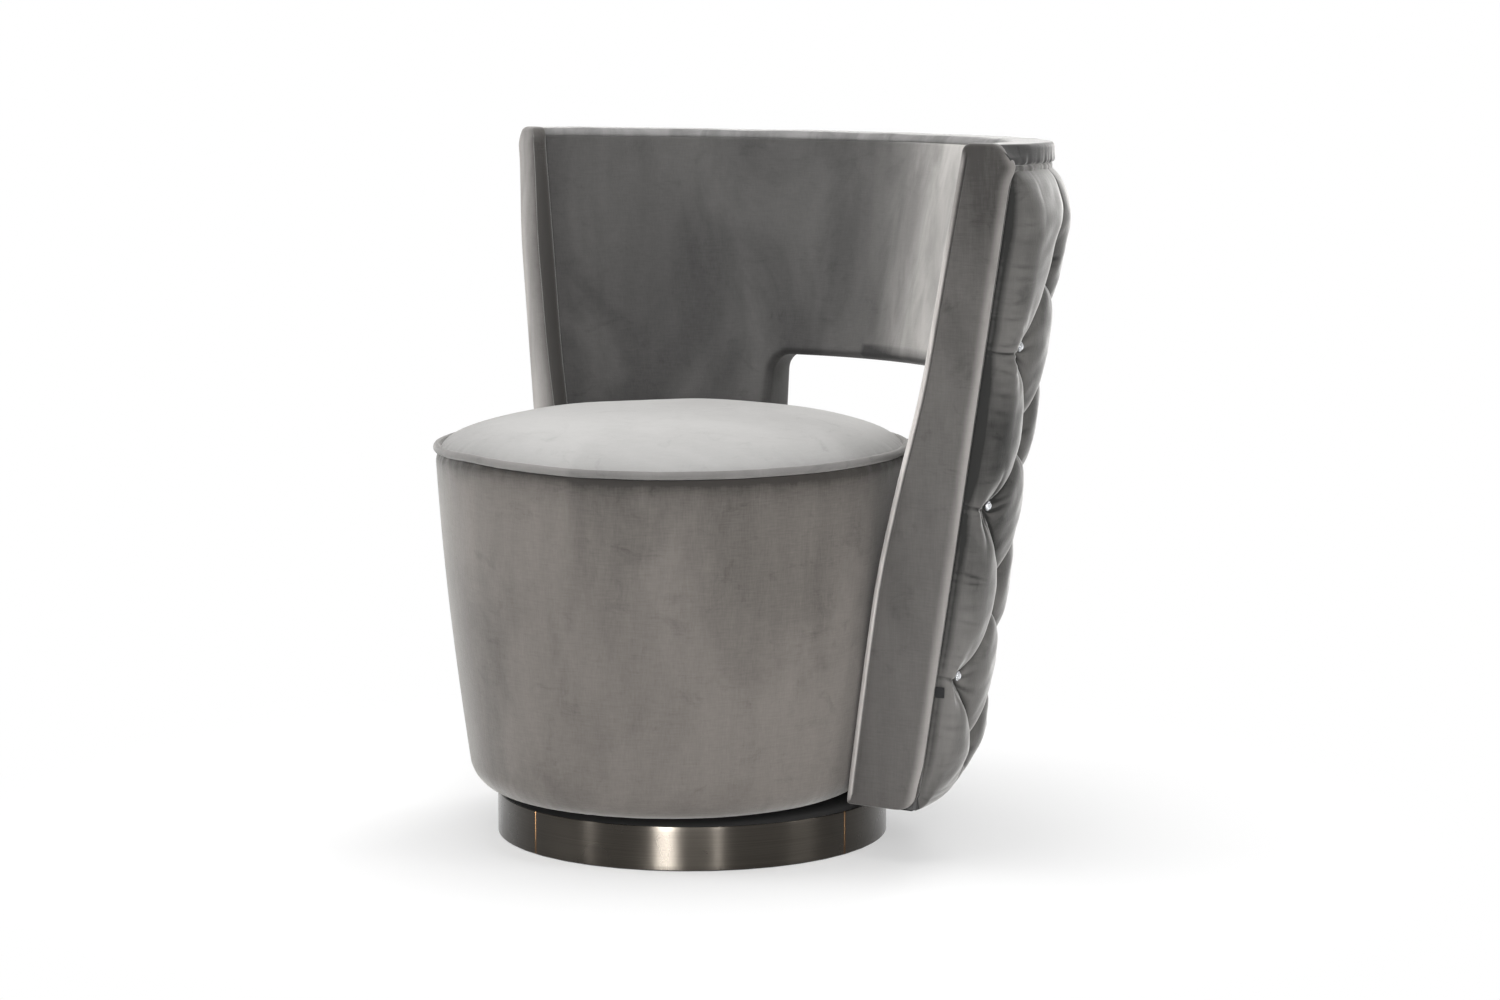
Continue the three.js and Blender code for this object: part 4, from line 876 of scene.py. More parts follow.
def add_seat_piping():
    """The cord round the seat; hand sewing makes it rise and fall a little."""
    angle = np.linspace(-180, 180, SEAT_COLUMNS, endpoint=False)
    arc = np.radians(angle) * PIPING_RING
    height = PIPING_HEIGHT + slow_waves(arc, 0, PIPING_DRIFT) + rim_sag(angle)
    radius = PIPING_RADIUS * (1 + slow_waves(arc, 0, PIPING_GATHER))
    add_cord("seat_piping_cord", round_point(angle, PIPING_RING, height), radius, velvet_piping_lit, closed=True,
             replaces=("seat_piping",))


add_seat_piping()

# %% [markdown]
# ## The inside of the back
#
# One sheet of velvet lines the curved back, from a seam under the top band down to the foot.
# The window is cut out of it. A grid is laid over the whole face; the cells inside the window are
# left out, and the points along the hole slide onto its true rounded outline.
# Near every edge the sheet rolls back towards the frame, which is what makes a seam read as a seam.
# Painted sheen lightens the velvet to the right of the middle, painted shade darkens it round the
# window, and it has a darker strip over the window's top edge.

# %% A curved panel with a window in it
WINDOW_MIDDLE = (WINDOW_LOW + WINDOW_HIGH) / 2
WINDOW_RADIUS = float((inner_radius(WINDOW_HIGH) + border_radius(WINDOW_HIGH)) / 2)
SLIDE_STEP = 0.1 * MM
SLIDE_COUNT = 12
PANEL_EDGE = np.array([0, 0.3, 0.8, 1.6, 2.8]) * MM
PANEL_STEP = 3.2 * MM
PANEL_ROLL = 9 * MM
SEAM_ROLL = 2.0 * MM
PANEL_EASE = (0.7 * MM, 0.24, 6)
PANEL_FINE = (0.12 * MM, 0.03, 7)
EASE_REACH = 40 * MM
DIP_START = 0.58

PANEL_PAINTED_SHEEN = 4.6
PANEL_SHEEN_SPAN = (-14, 15)
PANEL_SHEEN_END = (28, 60)
PANEL_SHEEN_LOSS = 0.75
TOP_EDGE_DARK = 1.6
TOP_EDGE_DARK_SPAN = (-5.2, -4.0)
TOP_EDGE_DARK_FADE = (15 * MM, 17 * MM)
WINDOW_PAINTED_SHADE = 0.7
WINDOW_SHADE_REACH = 7 * MM
SHEEN_CLEAR_REACH = 12 * MM


def window_distance(arc, height, half_width, low, high, corner):
    """Distance from a point to a rounded opening: negative inside it. Arc is measured from its middle."""
    middle, half_height = (low + high) / 2, (high - low) / 2
    across = np.abs(arc) - (half_width - corner)
    upward = np.abs(height - middle) - (half_height - corner)
    outside = np.hypot(np.maximum(across, 0), np.maximum(upward, 0))
    return outside + np.minimum(np.maximum(across, upward), 0) - corner


def slide_to_window(arc, height, rim, shape):
    """Moves the rim points along the steepest way until they lie on the opening's outline."""
    for _ in range(SLIDE_COUNT):
        gap = window_distance(arc[rim], height[rim], *shape)
        slope_a = (window_distance(arc[rim] + SLIDE_STEP, height[rim], *shape) - gap) / SLIDE_STEP
        slope_h = (window_distance(arc[rim], height[rim] + SLIDE_STEP, *shape) - gap) / SLIDE_STEP
        arc[rim] -= gap * slope_a
        height[rim] -= gap * slope_h


def cut_window(arc, height, shape):
    """Faces of a grid without the cells inside the opening, with the rim points moved onto it."""
    faces = grid_faces(*arc.shape)
    gap = window_distance(arc, height, *shape).ravel()
    keep = (gap[faces] > 0).sum(1) >= 3
    rim = np.intersect1d(faces[keep], faces[~keep])
    slide_to_window(arc.ravel(), height.ravel(), rim, shape)
    return faces[keep]


def used_only(points, faces, marks):
    """Leaves out the points that no face uses, and their marks."""
    used, index = np.unique(faces, return_inverse=True)
    marks = {title: values.ravel()[used] for title, values in marks.items()}
    return points.reshape(-1, 3)[used], index.reshape(-1, 4), marks


def window_shape(margin=0.0):
    """Half width, low and high edge and corner of the window, grown by a margin."""
    half_width = math.radians(WINDOW_HALF_ANGLE) * WINDOW_RADIUS + margin
    return half_width, WINDOW_LOW - margin, WINDOW_HIGH + margin, WINDOW_CORNER + margin


def panel_marks(angle, height, to_window):
    """Painted sheen, painted shade round the window and a darker strip over its top edge, for the inner
    panel.
    """
    # Painted sheen to the right of the middle, fading further round and near the window.
    lit_and_shaded = PANEL_PAINTED_SHEEN * fade_in(angle, *PANEL_SHEEN_SPAN) ** 2 * (1 - PANEL_SHEEN_LOSS * fade_in(angle, *PANEL_SHEEN_END))
    lit_and_shaded = lit_and_shaded * (1 - bell(to_window, SHEEN_CLEAR_REACH))
    # A darker strip on the panel over the window's top edge, from just left of the middle rightwards.
    darker_strip = fade_in(angle, *TOP_EDGE_DARK_SPAN) * (height > WINDOW_MIDDLE)
    darker_strip = TOP_EDGE_DARK * darker_strip * (1 - fade_in(to_window, *TOP_EDGE_DARK_FADE))
    # Painted shade close round the window, added to the darker strip.
    return {"light_and_shade": lit_and_shaded, "painted_shade": WINDOW_PAINTED_SHADE * bell(to_window, WINDOW_SHADE_REACH) + darker_strip}


def add_inner_panel():
    """The sheet inside the back, rolled over at the window and the seams and dipping with the rim."""
    width = math.radians(END_SEAM_ANGLE) * WINDOW_RADIUS
    arc = edged_steps(-width, width, PANEL_EDGE, 4.5 * MM, 4.4 * MM, PANEL_STEP)
    height = edged_steps(BACK_FOOT, BAND_SEAM, PANEL_EDGE, 4.5 * MM, 4.4 * MM, PANEL_STEP)
    arc, height = (grid.copy() for grid in np.meshgrid(arc, height))
    faces = cut_window(arc, height, window_shape())
    to_window = np.maximum(window_distance(arc, height, *window_shape()), 0)
    to_seam = np.minimum(np.minimum(width - np.abs(arc), BAND_SEAM - height), height - BACK_FOOT)
    roll = PANEL_ROLL * (1 - rise(to_window, PANEL_ROLL)) + SEAM_ROLL * (1 - rise(to_seam, SEAM_ROLL))
    ease = slow_waves(arc, height, PANEL_EASE) + slow_waves(arc, height * 0.4, PANEL_FINE)
    radius = inner_radius(height) + roll + ease * rise(to_seam, EASE_REACH)
    angle = np.degrees(arc / WINDOW_RADIUS)
    dip = rim_dip(angle) * np.clip((height - DIP_START) / (BAND_SEAM - DIP_START), 0, 1)
    points, faces, marks = used_only(round_point(angle, radius, height - dip), faces,
                                     panel_marks(angle, height, to_window))
    piece = add_piece("back_inner_velvet", points, faces[:, ::-1], velvet_back_shaded, replaces=("back_inner_pad",),
                      marks=marks)


add_inner_panel()

# %% Window lining
BEND_STEPS = 10
SIDE_STEP = 6 * MM
LINING_STEPS = 22
LINING_DRAW = 1.2 * MM
LINING_TUCK = 1.0 * MM
LINING_START = PANEL_ROLL - 0.6 * MM
LINING_END = 1.0 * MM
TUCK_WIDTH = 0.05


def window_outline(margin):
    """Points round the opening, as arc and height, evenly spaced along its sides and corners."""
    half_width, low, high, corner = window_shape(margin)
    right, top, bottom = half_width - corner, high - corner, low + corner
    centres = ((right, top), (-right, top), (-right, bottom), (right, bottom))
    bends = [bend(centre, corner, 90 * k, 90 * k + 90, BEND_STEPS) for k, centre in enumerate(centres)]
    spans = []
    for turned, following in zip(bends, bends[1:] + bends[:1]):
        way = following[0] - turned[-1]
        count = max(int(np.linalg.norm(way) / SIDE_STEP), 2)
        spans += [turned, turned[-1] + way * np.linspace(0, 1, count + 1)[1:-1, None]]
    return np.concatenate(spans)


def add_window_lining():
    """Velvet through the thickness of the back, drawn in a little halfway by its own tension."""
    arc, height = window_outline(0.0).T[:, None, :]
    share = np.linspace(0, 1, LINING_STEPS)[:, None]
    inner = inner_radius(height) + LINING_START
    outer = border_radius(height) + LINING_END
    tucked = bell(share, TUCK_WIDTH) + bell(1 - share, TUCK_WIDTH)
    bulge = LINING_DRAW * np.sin(math.pi * share) - LINING_TUCK * tucked
    inward = np.stack([-np.sign(arc) * (np.abs(arc) > window_shape()[0] - WINDOW_CORNER),
                       -np.sign(height - WINDOW_MIDDLE)], axis=-1)
    inward = inward / np.linalg.norm(inward, axis=-1, keepdims=True)
    moved_arc = arc + inward[..., 0] * bulge
    moved_height = height + inward[..., 1] * bulge
    points = round_point(np.degrees(moved_arc / WINDOW_RADIUS), inner + (outer - inner) * share, moved_height)
    # The lining takes the darkest velvet copy: painted shade inside the window.
    piece = add_piece("window_lining_velvet", points, grid_faces(LINING_STEPS, arc.size, closed=True),
                      velvet_lining_shaded, replaces=("window_liner",))


add_window_lining()

# %% [markdown]
# ## The padded ends of the back
#
# Each end of the back is a padded board. A fat sewn roll runs up its inner edge and stands proud of
# the inside. Its top outer corner is cut off, with a small shoulder below the cut, and its foot is
# rounded. The outline is drawn once in radius and height. Rings that step inwards from it make
# the side wall, the round edge and the seam, and an even net of triangles fills the flat face.
# Every point of the outline knows how much of the roll it carries, so one set of rings makes both
# the plain sides and the roll. Values by side are given for the right, 1, and the left, -1: their
# painted light and shade differ, and the left board has a slight belly. Painted light brightens the
# outer edges, the right roll and the left face towards its outer edge; painted shade darkens the left
# roll and the top of the right board.

# %% Outline of the end board
END_PAD = 12 * MM
END_EDGE = 4 * MM
OUTER_ROLL = 9 * MM
END_ROLL = 6.5 * MM
ROLL_PROUD = 5 * MM
TOP_BEND = 9 * MM
FOOT_CORNER = 21 * MM
OUTLINE_STEP = 3 * MM
SHOULDER = ((50, -4.2), (42, -4.0), (36, -3.0), (30, -0.5), (25, 0.7), (21, 0.2), (17, -2.6), (12, -8.2),
            (7, -14.5), (0, -23.0))
SHOULDER_BASE = -4.2


def end_tuck(height):
    """How far the end board's outer side lies inside the border: more towards the foot."""
    return (4.2 + 5.0 * (0.70 - height) / 0.6) * MM


def evened(values, passes):
    """Values round a closed line, each blended with its neighbours."""
    for _ in range(passes):
        values = (np.roll(values, 1, axis=0) + 2 * values + np.roll(values, -1, axis=0)) / 4
    return values


def end_outline(bump=1.0):
    """The end board's outline as evenly spaced points of radius and height, anticlockwise."""
    foot = (BORDER_FOOT_RADIUS - end_tuck(BACK_FOOT) - FOOT_CORNER, BACK_FOOT + FOOT_CORNER)
    rising = np.linspace(BACK_FOOT + 2.4 * FOOT_CORNER, BACK_TOP - 60 * MM, 6)
    drop, out = np.array(SHOULDER).T
    out = out - np.maximum(out - SHOULDER_BASE, 0) * (1 - bump)
    shoulder = BACK_TOP - drop * MM
    lip = float(inner_radius(BACK_TOP - TOP_BEND)) - ROLL_PROUD
    falling = np.linspace(BACK_TOP - 30 * MM, BACK_FOOT, 24)
    knots = np.concatenate([bend(foot, FOOT_CORNER, -90, 0, 8),
                            np.stack([border_radius(rising) - end_tuck(rising), rising], axis=-1),
                            np.stack([border_radius(shoulder) + out * MM, shoulder], axis=-1),
                            bend((lip + TOP_BEND, BACK_TOP - TOP_BEND), TOP_BEND, 90, 180, 6),
                            np.stack([inner_radius(falling) - ROLL_PROUD, falling], axis=-1)])
    closed = np.concatenate([knots, knots[:1]])
    length = np.concatenate([[0], np.cumsum(np.linalg.norm(np.diff(closed, axis=0), axis=1))])
    even = np.linspace(0, length[-1], int(length[-1] / OUTLINE_STEP), endpoint=False)
    return evened(np.stack([np.interp(even, length, closed[:, k]) for k in (0, 1)], axis=-1), 2)


def inset_outline(line, inset):
    """The outline moved inwards by one inset or by one for each point."""
    along = np.roll(line, -1, axis=0) - np.roll(line, 1, axis=0)
    inward = evened(np.stack([-along[:, 1], along[:, 0]], axis=-1), 4)
    inward /= np.linalg.norm(inward, axis=1, keepdims=True)
    return line + inward * np.broadcast_to(inset, len(line))[:, None]


def side_share(line, near):
    """1 along one side of the outline, chosen by a mask, fading to 0 past its ends."""
    share = near & (line[:, 1] > BACK_FOOT + 5 * MM) & (line[:, 1] < BACK_TOP - 10 * MM)
    return evened(share.astype(float), 6)


print("end board outline:", len(end_outline()), "points")

# %% End pads
PLAIN_WALL = ((1.2, -12.0), (0.3, -11.2), (0, -10.0), (0, -8.4), (0, -7.0))
OUTER_WALL = ((4.5, -12.0), (2.6, -11.2), (1.3, -10.2), (0.5, -9.2), (0.1, -8.2))
SEAM_RINGS = ((0.9, 1.3), (1.8, 2.1), (2.8, 1.2), (4.6, 0.2))
NET_STEP = 5 * MM
BUMP = {1: 1.0, -1: 0.25}
EDGE_PAINTED_LIGHT = {1: 1.2, -1: 2.4}
ROLL_LIGHT_AND_SHADE = {1: 3.7, -1: -0.9}
FACE_PAINTED_LIGHT = {1: 0.0, -1: 2.8}
TOP_PAINTED_SHADE = {1: -0.6, -1: 0.0}
BELLY = {1: 0.0, -1: 4.8 * MM}
FACE_CROWN = 1.2 * MM
CROWN_REACH = 26 * MM
FACE_EASE = (0.5 * MM, 0.14, 8)
END_WORDS = {1: "right", -1: "left"}


def round_edge(width, depth, start, steps, proud=0.0):
    """Inset and depth of a rounded edge, from the wall up to the face."""
    turn = quarter(start, 90, steps)
    return np.stack([width * (1 - np.cos(turn)), proud - depth * (1 - np.sin(turn))], axis=-1)


def end_rings():
    """Inset and depth of each ring, from the back to the face, for the plain sides, the soft outer
    side and the roll."""
    plain = np.concatenate([np.array(PLAIN_WALL) * MM, round_edge(END_EDGE, 5.5 * MM, 0, 7)])
    outer = np.concatenate([np.array(OUTER_WALL) * MM, round_edge(OUTER_ROLL, 7.5 * MM, 0, 7)])
    return plain, outer, round_edge(END_ROLL, END_ROLL, -75, 12, proud=0.8 * MM)


def net_inside(line, spacing):
    """Points of an even net inside a closed outline, with the faces that fill it."""
    low, high = line.min(0), line.max(0)
    radius, height = np.meshgrid(np.arange(low[0], high[0], spacing), np.arange(low[1], high[1], spacing))
    inside = np.stack([radius.ravel(), height.ravel()], axis=-1)
    nearest = np.min(np.linalg.norm(inside[:, None] - line[None], axis=2), axis=1)
    inside = inside[nearest > spacing * 0.7]
    points = [Vector(p) for p in np.concatenate([line, inside])]
    made = delaunay_2d_cdt(points, [], [list(range(len(line)))], 1, 1e-7)
    return np.array([list(p) for p in made[0]]), [list(f) for f in made[2]], made[3]


def end_walls(line, side):
    """Rows of radius, height and depth from the back of the board to its seam, and their painted light and
    shade.
    """
    middle = (inner_radius(line[:, 1]) + border_radius(line[:, 1])) / 2
    roll = side_share(line, line[:, 0] < inner_radius(line[:, 1]) + 1 * MM)
    outer = side_share(line, line[:, 0] > middle) * (1 - roll)
    # Painted light on the right roll and painted shade on the left roll, less of either near the top.
    roll_light_shade = ROLL_LIGHT_AND_SHADE[side] * roll * (1 - 0.55 * fade_in(line[:, 1], 0.52, 0.72))
    rows, light_shade_rows = [], []
    for plain, soft, round_ in zip(*end_rings()):
        blend = (plain[k] + (soft[k] - plain[k]) * outer + (round_[k] - plain[k]) * roll for k in (0, 1))
        inset, depth = blend
        rows.append(np.column_stack([inset_outline(line, inset), depth]))
        turned_over = 1 - (1 + depth / (8 * MM)).clip(0, 1) ** 3
        light_shade_rows.append(EDGE_PAINTED_LIGHT[side] * outer * turned_over + roll_light_shade)
    start = END_ROLL + (OUTER_ROLL - END_ROLL) * outer
    for inset, sink in SEAM_RINGS:
        rows.append(np.column_stack([inset_outline(line, start + inset * MM), -sink * MM * roll]))
        light_shade_rows.append(0 * roll)
    return rows, light_shade_rows


def fill_face(rows):
    """Faces of the walls and of the net over the face, and the net's own points."""
    count = len(rows[0])
    faces = [list(face) for face in grid_faces(len(rows), count, closed=True)]
    net, net_faces, source = net_inside(rows[-1][:, :2], NET_STEP)
    index, extra = {}, []
    for number, origin in enumerate(source):
        known = [o for o in origin if o < count]
        index[number] = (len(rows) - 1) * count + known[0] if known else len(rows) * count + len(extra)
        if not known:
            extra.append(net[number])
    return faces + [[index[k] for k in face] for face in net_faces], np.array(extra)


def add_end_pad(side):
    """An end board: its walls, its face with a slight crown, and on the left a belly over all of it."""
    line = end_outline(BUMP[side])
    rows, light_shade_rows = end_walls(line, side)
    faces, extra = fill_face(rows)
    to_edge = np.min(np.linalg.norm(extra[:, None] - rows[-1][None, :, :2], axis=2), axis=1)
    crown = FACE_CROWN * rise(to_edge, CROWN_REACH) + slow_waves(extra[:, 0], extra[:, 1], FACE_EASE)
    flat = np.concatenate([*rows, np.column_stack([extra, crown])])
    inside, outside = inner_radius(flat[:, 1]), border_radius(flat[:, 1])
    share = np.clip((flat[:, 0] - inside) / (outside - inside), 0, 1)
    high = fade_in(flat[:, 1], 0.46, BACK_TOP)
    lit_and_shaded = np.concatenate([*light_shade_rows, np.zeros(len(extra))])
    # Painted light on the left face towards its outer edge, and painted shade at the top of the right board.
    lit_and_shaded = lit_and_shaded + (FACE_PAINTED_LIGHT[side] * share ** 1.2 + TOP_PAINTED_SHADE[side] * high)
    belly = BELLY[side] * (1 - fade_in(flat[:, 1], 0.60, 0.74)) * fade_in(flat[:, 1], 0.08, 0.30)
    flat[:, 2] += belly * np.clip(1 + flat[:, 2] / END_PAD, 0, 1)
    turned = END_ANGLE + np.degrees(flat[:, 2] / float(np.mean(line[:, 0])))
    points = round_point(side * turned, flat[:, 0], flat[:, 1])
    if side > 0:
        faces = [face[::-1] for face in faces]
    word = END_WORDS[side]
    piece = add_piece(f"back_end_velvet_{word}", points, faces, velvet_edge,
                      replaces=(f"back_end_pad_{word}",), marks={"light_and_shade": lit_and_shaded})


for end_side in (-1, 1):
    add_end_pad(end_side)

# %% [markdown]
# ## The top band
#
# A padded band caps the back from one end board to the other, a touch lower in the middle than at
# the wings. Its section is one closed line that follows the back round. Towards each end its outer
# corner is cut off to meet the cut corner of the end board, and the ends are closed.
# Its lower edge is pulled in tight against the roll below, so the seam there puckers.

# %% Top band
BAND_EDGE = 9 * MM
BAND_CORNER = 5.5 * MM
BAND_FOOT = 5 * MM
BAND_DROP = 22 * MM
BAND_INSET = 6.5 * MM
BAND_END_ANGLE = 74.2
BAND_STEP = 0.28
BAND_CUT = 7.0
CUT_START = 24 * MM
CUT_SLOPE = 1.26
BAND_PULL = (1.1 * MM, 0.024, 9)
BAND_EASE = (0.5 * MM, 0.13, 10)
PULL_HEIGHT = 7 * MM
BAND_PAINTED_SHEEN = 2.9


def band_section():
    """Radius and height round the band, from the inner seam over the top to the seam outside."""
    inner = float(inner_radius(BAND_SEAM))
    outer = float(border_radius(BACK_TOP)) - BAND_INSET
    low = BACK_TOP - BAND_DROP
    top = np.linspace(inner + BAND_EDGE, outer - BAND_CORNER, 10)[1:-1]
    side = np.linspace(BACK_TOP - BAND_CORNER, low + BAND_FOOT, 9)[1:-1]
    return np.concatenate([[(inner + 3 * MM, BAND_SEAM - 1 * MM), (inner + 0.6 * MM, BAND_SEAM + 0.2 * MM)],
                           bend((inner + BAND_EDGE, BACK_TOP - BAND_EDGE), BAND_EDGE, 180, 90, 9)[1:],
                           [(radius, BACK_TOP) for radius in top],
                           bend((outer - BAND_CORNER, BACK_TOP - BAND_CORNER), BAND_CORNER, 90, 0, 7),
                           [(outer, height) for height in side],
                           bend((outer - BAND_FOOT, low + BAND_FOOT), BAND_FOOT, 0, -90, 6),
                           [(outer - 12 * MM, low + 1 * MM)]])


def add_top_band():
    """The section carried round the back, puckered at its lower seam and cut off at its ends."""
    section = band_section()
    angle = np.arange(-BAND_END_ANGLE, BAND_END_ANGLE + 0.01, BAND_STEP)[:, None]
    arc = np.radians(angle) * WAVE_RADIUS
    radius, height = (section[:, k][None, :] + 0 * arc for k in (0, 1))
    drop = BACK_TOP - height
    lower = np.exp(-np.maximum(BAND_DROP - drop, 0) / PULL_HEIGHT) * (radius > section[:, 0].mean())
    pull = lower * slow_waves(arc, 0, BAND_PULL)
    ease = slow_waves(arc, height, BAND_EASE)
    top = drop < 1 * MM
    radius = radius + ease * ~top - pull
    cut = fade_in(np.abs(angle), BAND_END_ANGLE - BAND_CUT, BAND_END_ANGLE)
    limit = float(border_radius(BACK_TOP)) - CUT_START + CUT_SLOPE * drop
    radius = radius - cut * np.maximum(radius - limit, 0)
    height = height - np.abs(ease) * top - rim_dip(angle) - 0.6 * MM * cut
    faces = [face[::-1] for face in capped_rows(len(angle), len(section), closed=False)]
    outside = section[:, 0] > float(border_radius(BACK_TOP)) - BAND_INSET - 0.6 * BAND_CORNER
    # Painted sheen on the top and the inner side of the band; the outer face stays plain.
    lit_and_shaded = np.where(outside[None, :], 0.0, BAND_PAINTED_SHEEN) * np.ones_like(radius)
    piece = add_piece("back_top_velvet", round_point(angle, radius, height), faces, velvet_band_shaded,
                      replaces=("back_top_pad",), marks={"light_and_shade": lit_and_shaded})


add_top_band()

# %% [markdown]
# ## Deep buttoning
#
# Outside, the velvet is buttoned in long diamonds. Cloth is cut larger than the frame and pulled down
# at each button. The spare cloth between buttons folds into a pleat whose upper lip hangs over the
# lower one. At the borders the pleats run straight to the edge, and creases fan out from each button.
#
# The lattice has two families of slanting lines. With u the column and v the row, the pleats lie where
# (u + v - 1) / 2 or (u - v - 1) / 2 is a whole number, and a button sits where both are.
# The padding's height is a product of two domes, one across each family, so each diamond is a full
# pillow with steep sides. Everything is added up as one height field over an even grid.

# %% The lattice of buttons
TUFT_ANGLE = 360 / 33
TUFT_ROWS = (0.625, 0.539, 0.448, 0.376, 0.278, 0.197, 0.106)
TUFT_PITCH = (TUFT_ROWS[0] - TUFT_ROWS[-1]) / 3
TUFT_LAST_COLUMN = 6
TUFT_LAST_ROW = len(TUFT_ROWS) - 1
COLUMN_WANDER = (0.045, 0.31, 18)
ROW_WANDER = (0.045, 0.27, 19)
FAN_OUT = 0.042
FAN_LEVELS = (0.37, 0.55)
BUTTON_TRIES = 8
WINDOW_CLEARANCE = 12 * MM


def lattice(angle, height):
    """Column and row of a place. The rows were pulled by hand, so they are uneven and wander a little."""
    levels = (TUFT_ROWS[-1] - TUFT_PITCH, *TUFT_ROWS[::-1], TUFT_ROWS[0] + TUFT_PITCH)
    row = np.interp(height, levels, (TUFT_LAST_ROW + 2, *range(TUFT_LAST_ROW, -1, -1), -2))
    arc = np.radians(angle) * WAVE_RADIUS
    inside = np.clip((TUFT_LAST_COLUMN - np.abs(angle) / TUFT_ANGLE) / 2, 0, 1)
    sideways = np.clip(np.abs(angle) / TUFT_END_ANGLE, 0, 1) ** 2
    fanned = 1 + FAN_OUT * (1 - fade_in(height, *FAN_LEVELS)) * sideways
    column = angle / TUFT_ANGLE / fanned + inside * slow_waves(arc, height, COLUMN_WANDER)
    return column, row + slow_waves(arc, height, ROW_WANDER)


def button_place(column, row):
    """Angle and height of a crossing of the lattice, found by a few steps back from a first guess."""
    angle, height = column * TUFT_ANGLE, TUFT_ROWS[row]
    for _ in range(BUTTON_TRIES):
        found_column, found_row = lattice(angle, height)
        angle += (column - float(found_column)) * TUFT_ANGLE
        height -= (row - float(found_row)) * TUFT_PITCH / 2
    return angle, height


def button_places():
    """Angle and height of each button, leaving out those that would sit in the window."""
    columns = range(-TUFT_LAST_COLUMN, TUFT_LAST_COLUMN + 1)
    crossings = [(column, row) for row in range(TUFT_LAST_ROW + 1) for column in columns]
    places = [button_place(column, row) for column, row in crossings if (row + column) % 2]
    angle, height = np.array(places).T
    gap = window_distance(np.radians(angle) * WINDOW_RADIUS, height, *window_shape(WINDOW_CLEARANCE))
    return [place for place, distance in zip(places, gap) if distance > 0]


BUTTONS = button_places()
print("buttons:", len(BUTTONS))

# %% Pillows and pleats
PLEAT_LIFT = 0.26
SIDE_DIP = 0.30
LEAN = 9 * MM
LEAN_WIDTH = 0.11
BORDER_PLEAT = 1.8 * MM
PLEAT_RADIUS = 0.39


def to_whole(value):
    """Distance to the nearest whole number."""
    return np.abs(value - np.round(value))


def dome(share):
    """Height across one family of pleats: 0 on a pleat, with steep flanks and a full round top."""
    return np.sqrt(1 - (1 - 2 * to_whole(share)) ** 3)


def edge_dome(share):
    """Height of the pillows that run to a border, which dip only where a button pulls them."""
    return 1 - SIDE_DIP + SIDE_DIP * np.sqrt(1 - (1 - 2 * to_whole(share)) ** 5)


def tuft_height(column, row):
    """Height of the pillows from 0 to 1, and how far down the pleats' upper lips hang, in metres."""
    inner_column = np.clip(column, -TUFT_LAST_COLUMN, TUFT_LAST_COLUMN)
    inner_row = np.clip(row, 0, TUFT_LAST_ROW)
    rising = (inner_column + inner_row - 1) / 2
    falling = (inner_column - inner_row - 1) / 2
    pillow = dome(rising) * dome(falling)
    pleat = 1 - np.abs(np.cos(math.pi * rising) * np.cos(math.pi * falling))
    height = pillow + (1 - pillow) * PLEAT_LIFT * pleat
    near = bell(to_whole(rising), LEAN_WIDTH) + bell(to_whole(falling), LEAN_WIDTH)
    beside = fade_in(np.abs(column), TUFT_LAST_COLUMN + 0.03, TUFT_LAST_COLUMN + 0.35)
    above = np.maximum(fade_in(-row, 0.05, 0.8), fade_in(row - TUFT_LAST_ROW, 0.05, 0.5))
    height = height + (edge_dome((inner_row - 1) / 2) - height) * beside
    height = height + (edge_dome((inner_column - 1) / 2) - height) * above
    return height, -LEAN * near * height * (1 - np.maximum(beside, above))


def border_pleats(column, row):
    """Crisp lines from the outermost buttons to the borders, as a depth from 0 to 1."""
    odd_row = to_whole((row - 1) / 2) * TUFT_PITCH
    odd_column = to_whole((column - 1) / 2) * 2 * math.radians(TUFT_ANGLE) * PLEAT_RADIUS
    beside = (np.abs(column) > TUFT_LAST_COLUMN) & (row > 0) & (row < TUFT_LAST_ROW)
    above = ((row < 0) | (row > TUFT_LAST_ROW)) & (np.abs(column) < TUFT_LAST_COLUMN)
    return np.maximum(bell(odd_row, BORDER_PLEAT) * beside, bell(odd_column, BORDER_PLEAT) * above)


print("pillow height next to a pleat:", round(float(dome(0.05)), 2))

# %% Creases and gathers
PULL_REACH = 15 * MM
CREASE_SPAN = 60 * MM
CREASE_START = 3 * MM
CREASE_TURN = 1.5


def button_creases(angle, height, radius):
    """Creases that fan out from each button, as a depth, and how strongly buttons pull, from 0 to 1."""
    random = np.random.default_rng(SEED + 11)
    depth, pull = np.zeros_like(height), np.zeros_like(height)
    for place_angle, place_height in BUTTONS:
        across = np.radians(angle - place_angle) * radius
        upward = height - place_height
        near = (np.abs(across) < CREASE_SPAN) & (np.abs(upward) < CREASE_SPAN)
        distance = np.hypot(across[near], upward[near]) + 1e-6
        turn = np.arctan2(upward[near], across[near])
        local = np.zeros_like(distance)
        count = random.integers(8, 11)
        start = random.uniform(0, 2 * math.pi)
        for number in range(count):
            way = start + (number + random.uniform(-0.3, 0.3)) * 2 * math.pi / count
            reach, size = random.uniform(13, 34) * MM, random.uniform(1.4, 3.6) * MM
            curve = random.uniform(-9, 9)
            away = (turn - way - curve * distance + math.pi) % (2 * math.pi) - math.pi
            beside = distance * np.sin(np.clip(away, -CREASE_TURN, CREASE_TURN))
            line = bell(beside, 0.9 * MM + 0.11 * distance) * (np.abs(away) < CREASE_TURN)
            local = np.maximum(local, size * line * bell(distance, reach))
        depth[near] += local * (1 - bell(distance, CREASE_START))
        pull[near] = np.maximum(pull[near], np.exp(-(distance / PULL_REACH) ** 1.6))
    return depth, pull


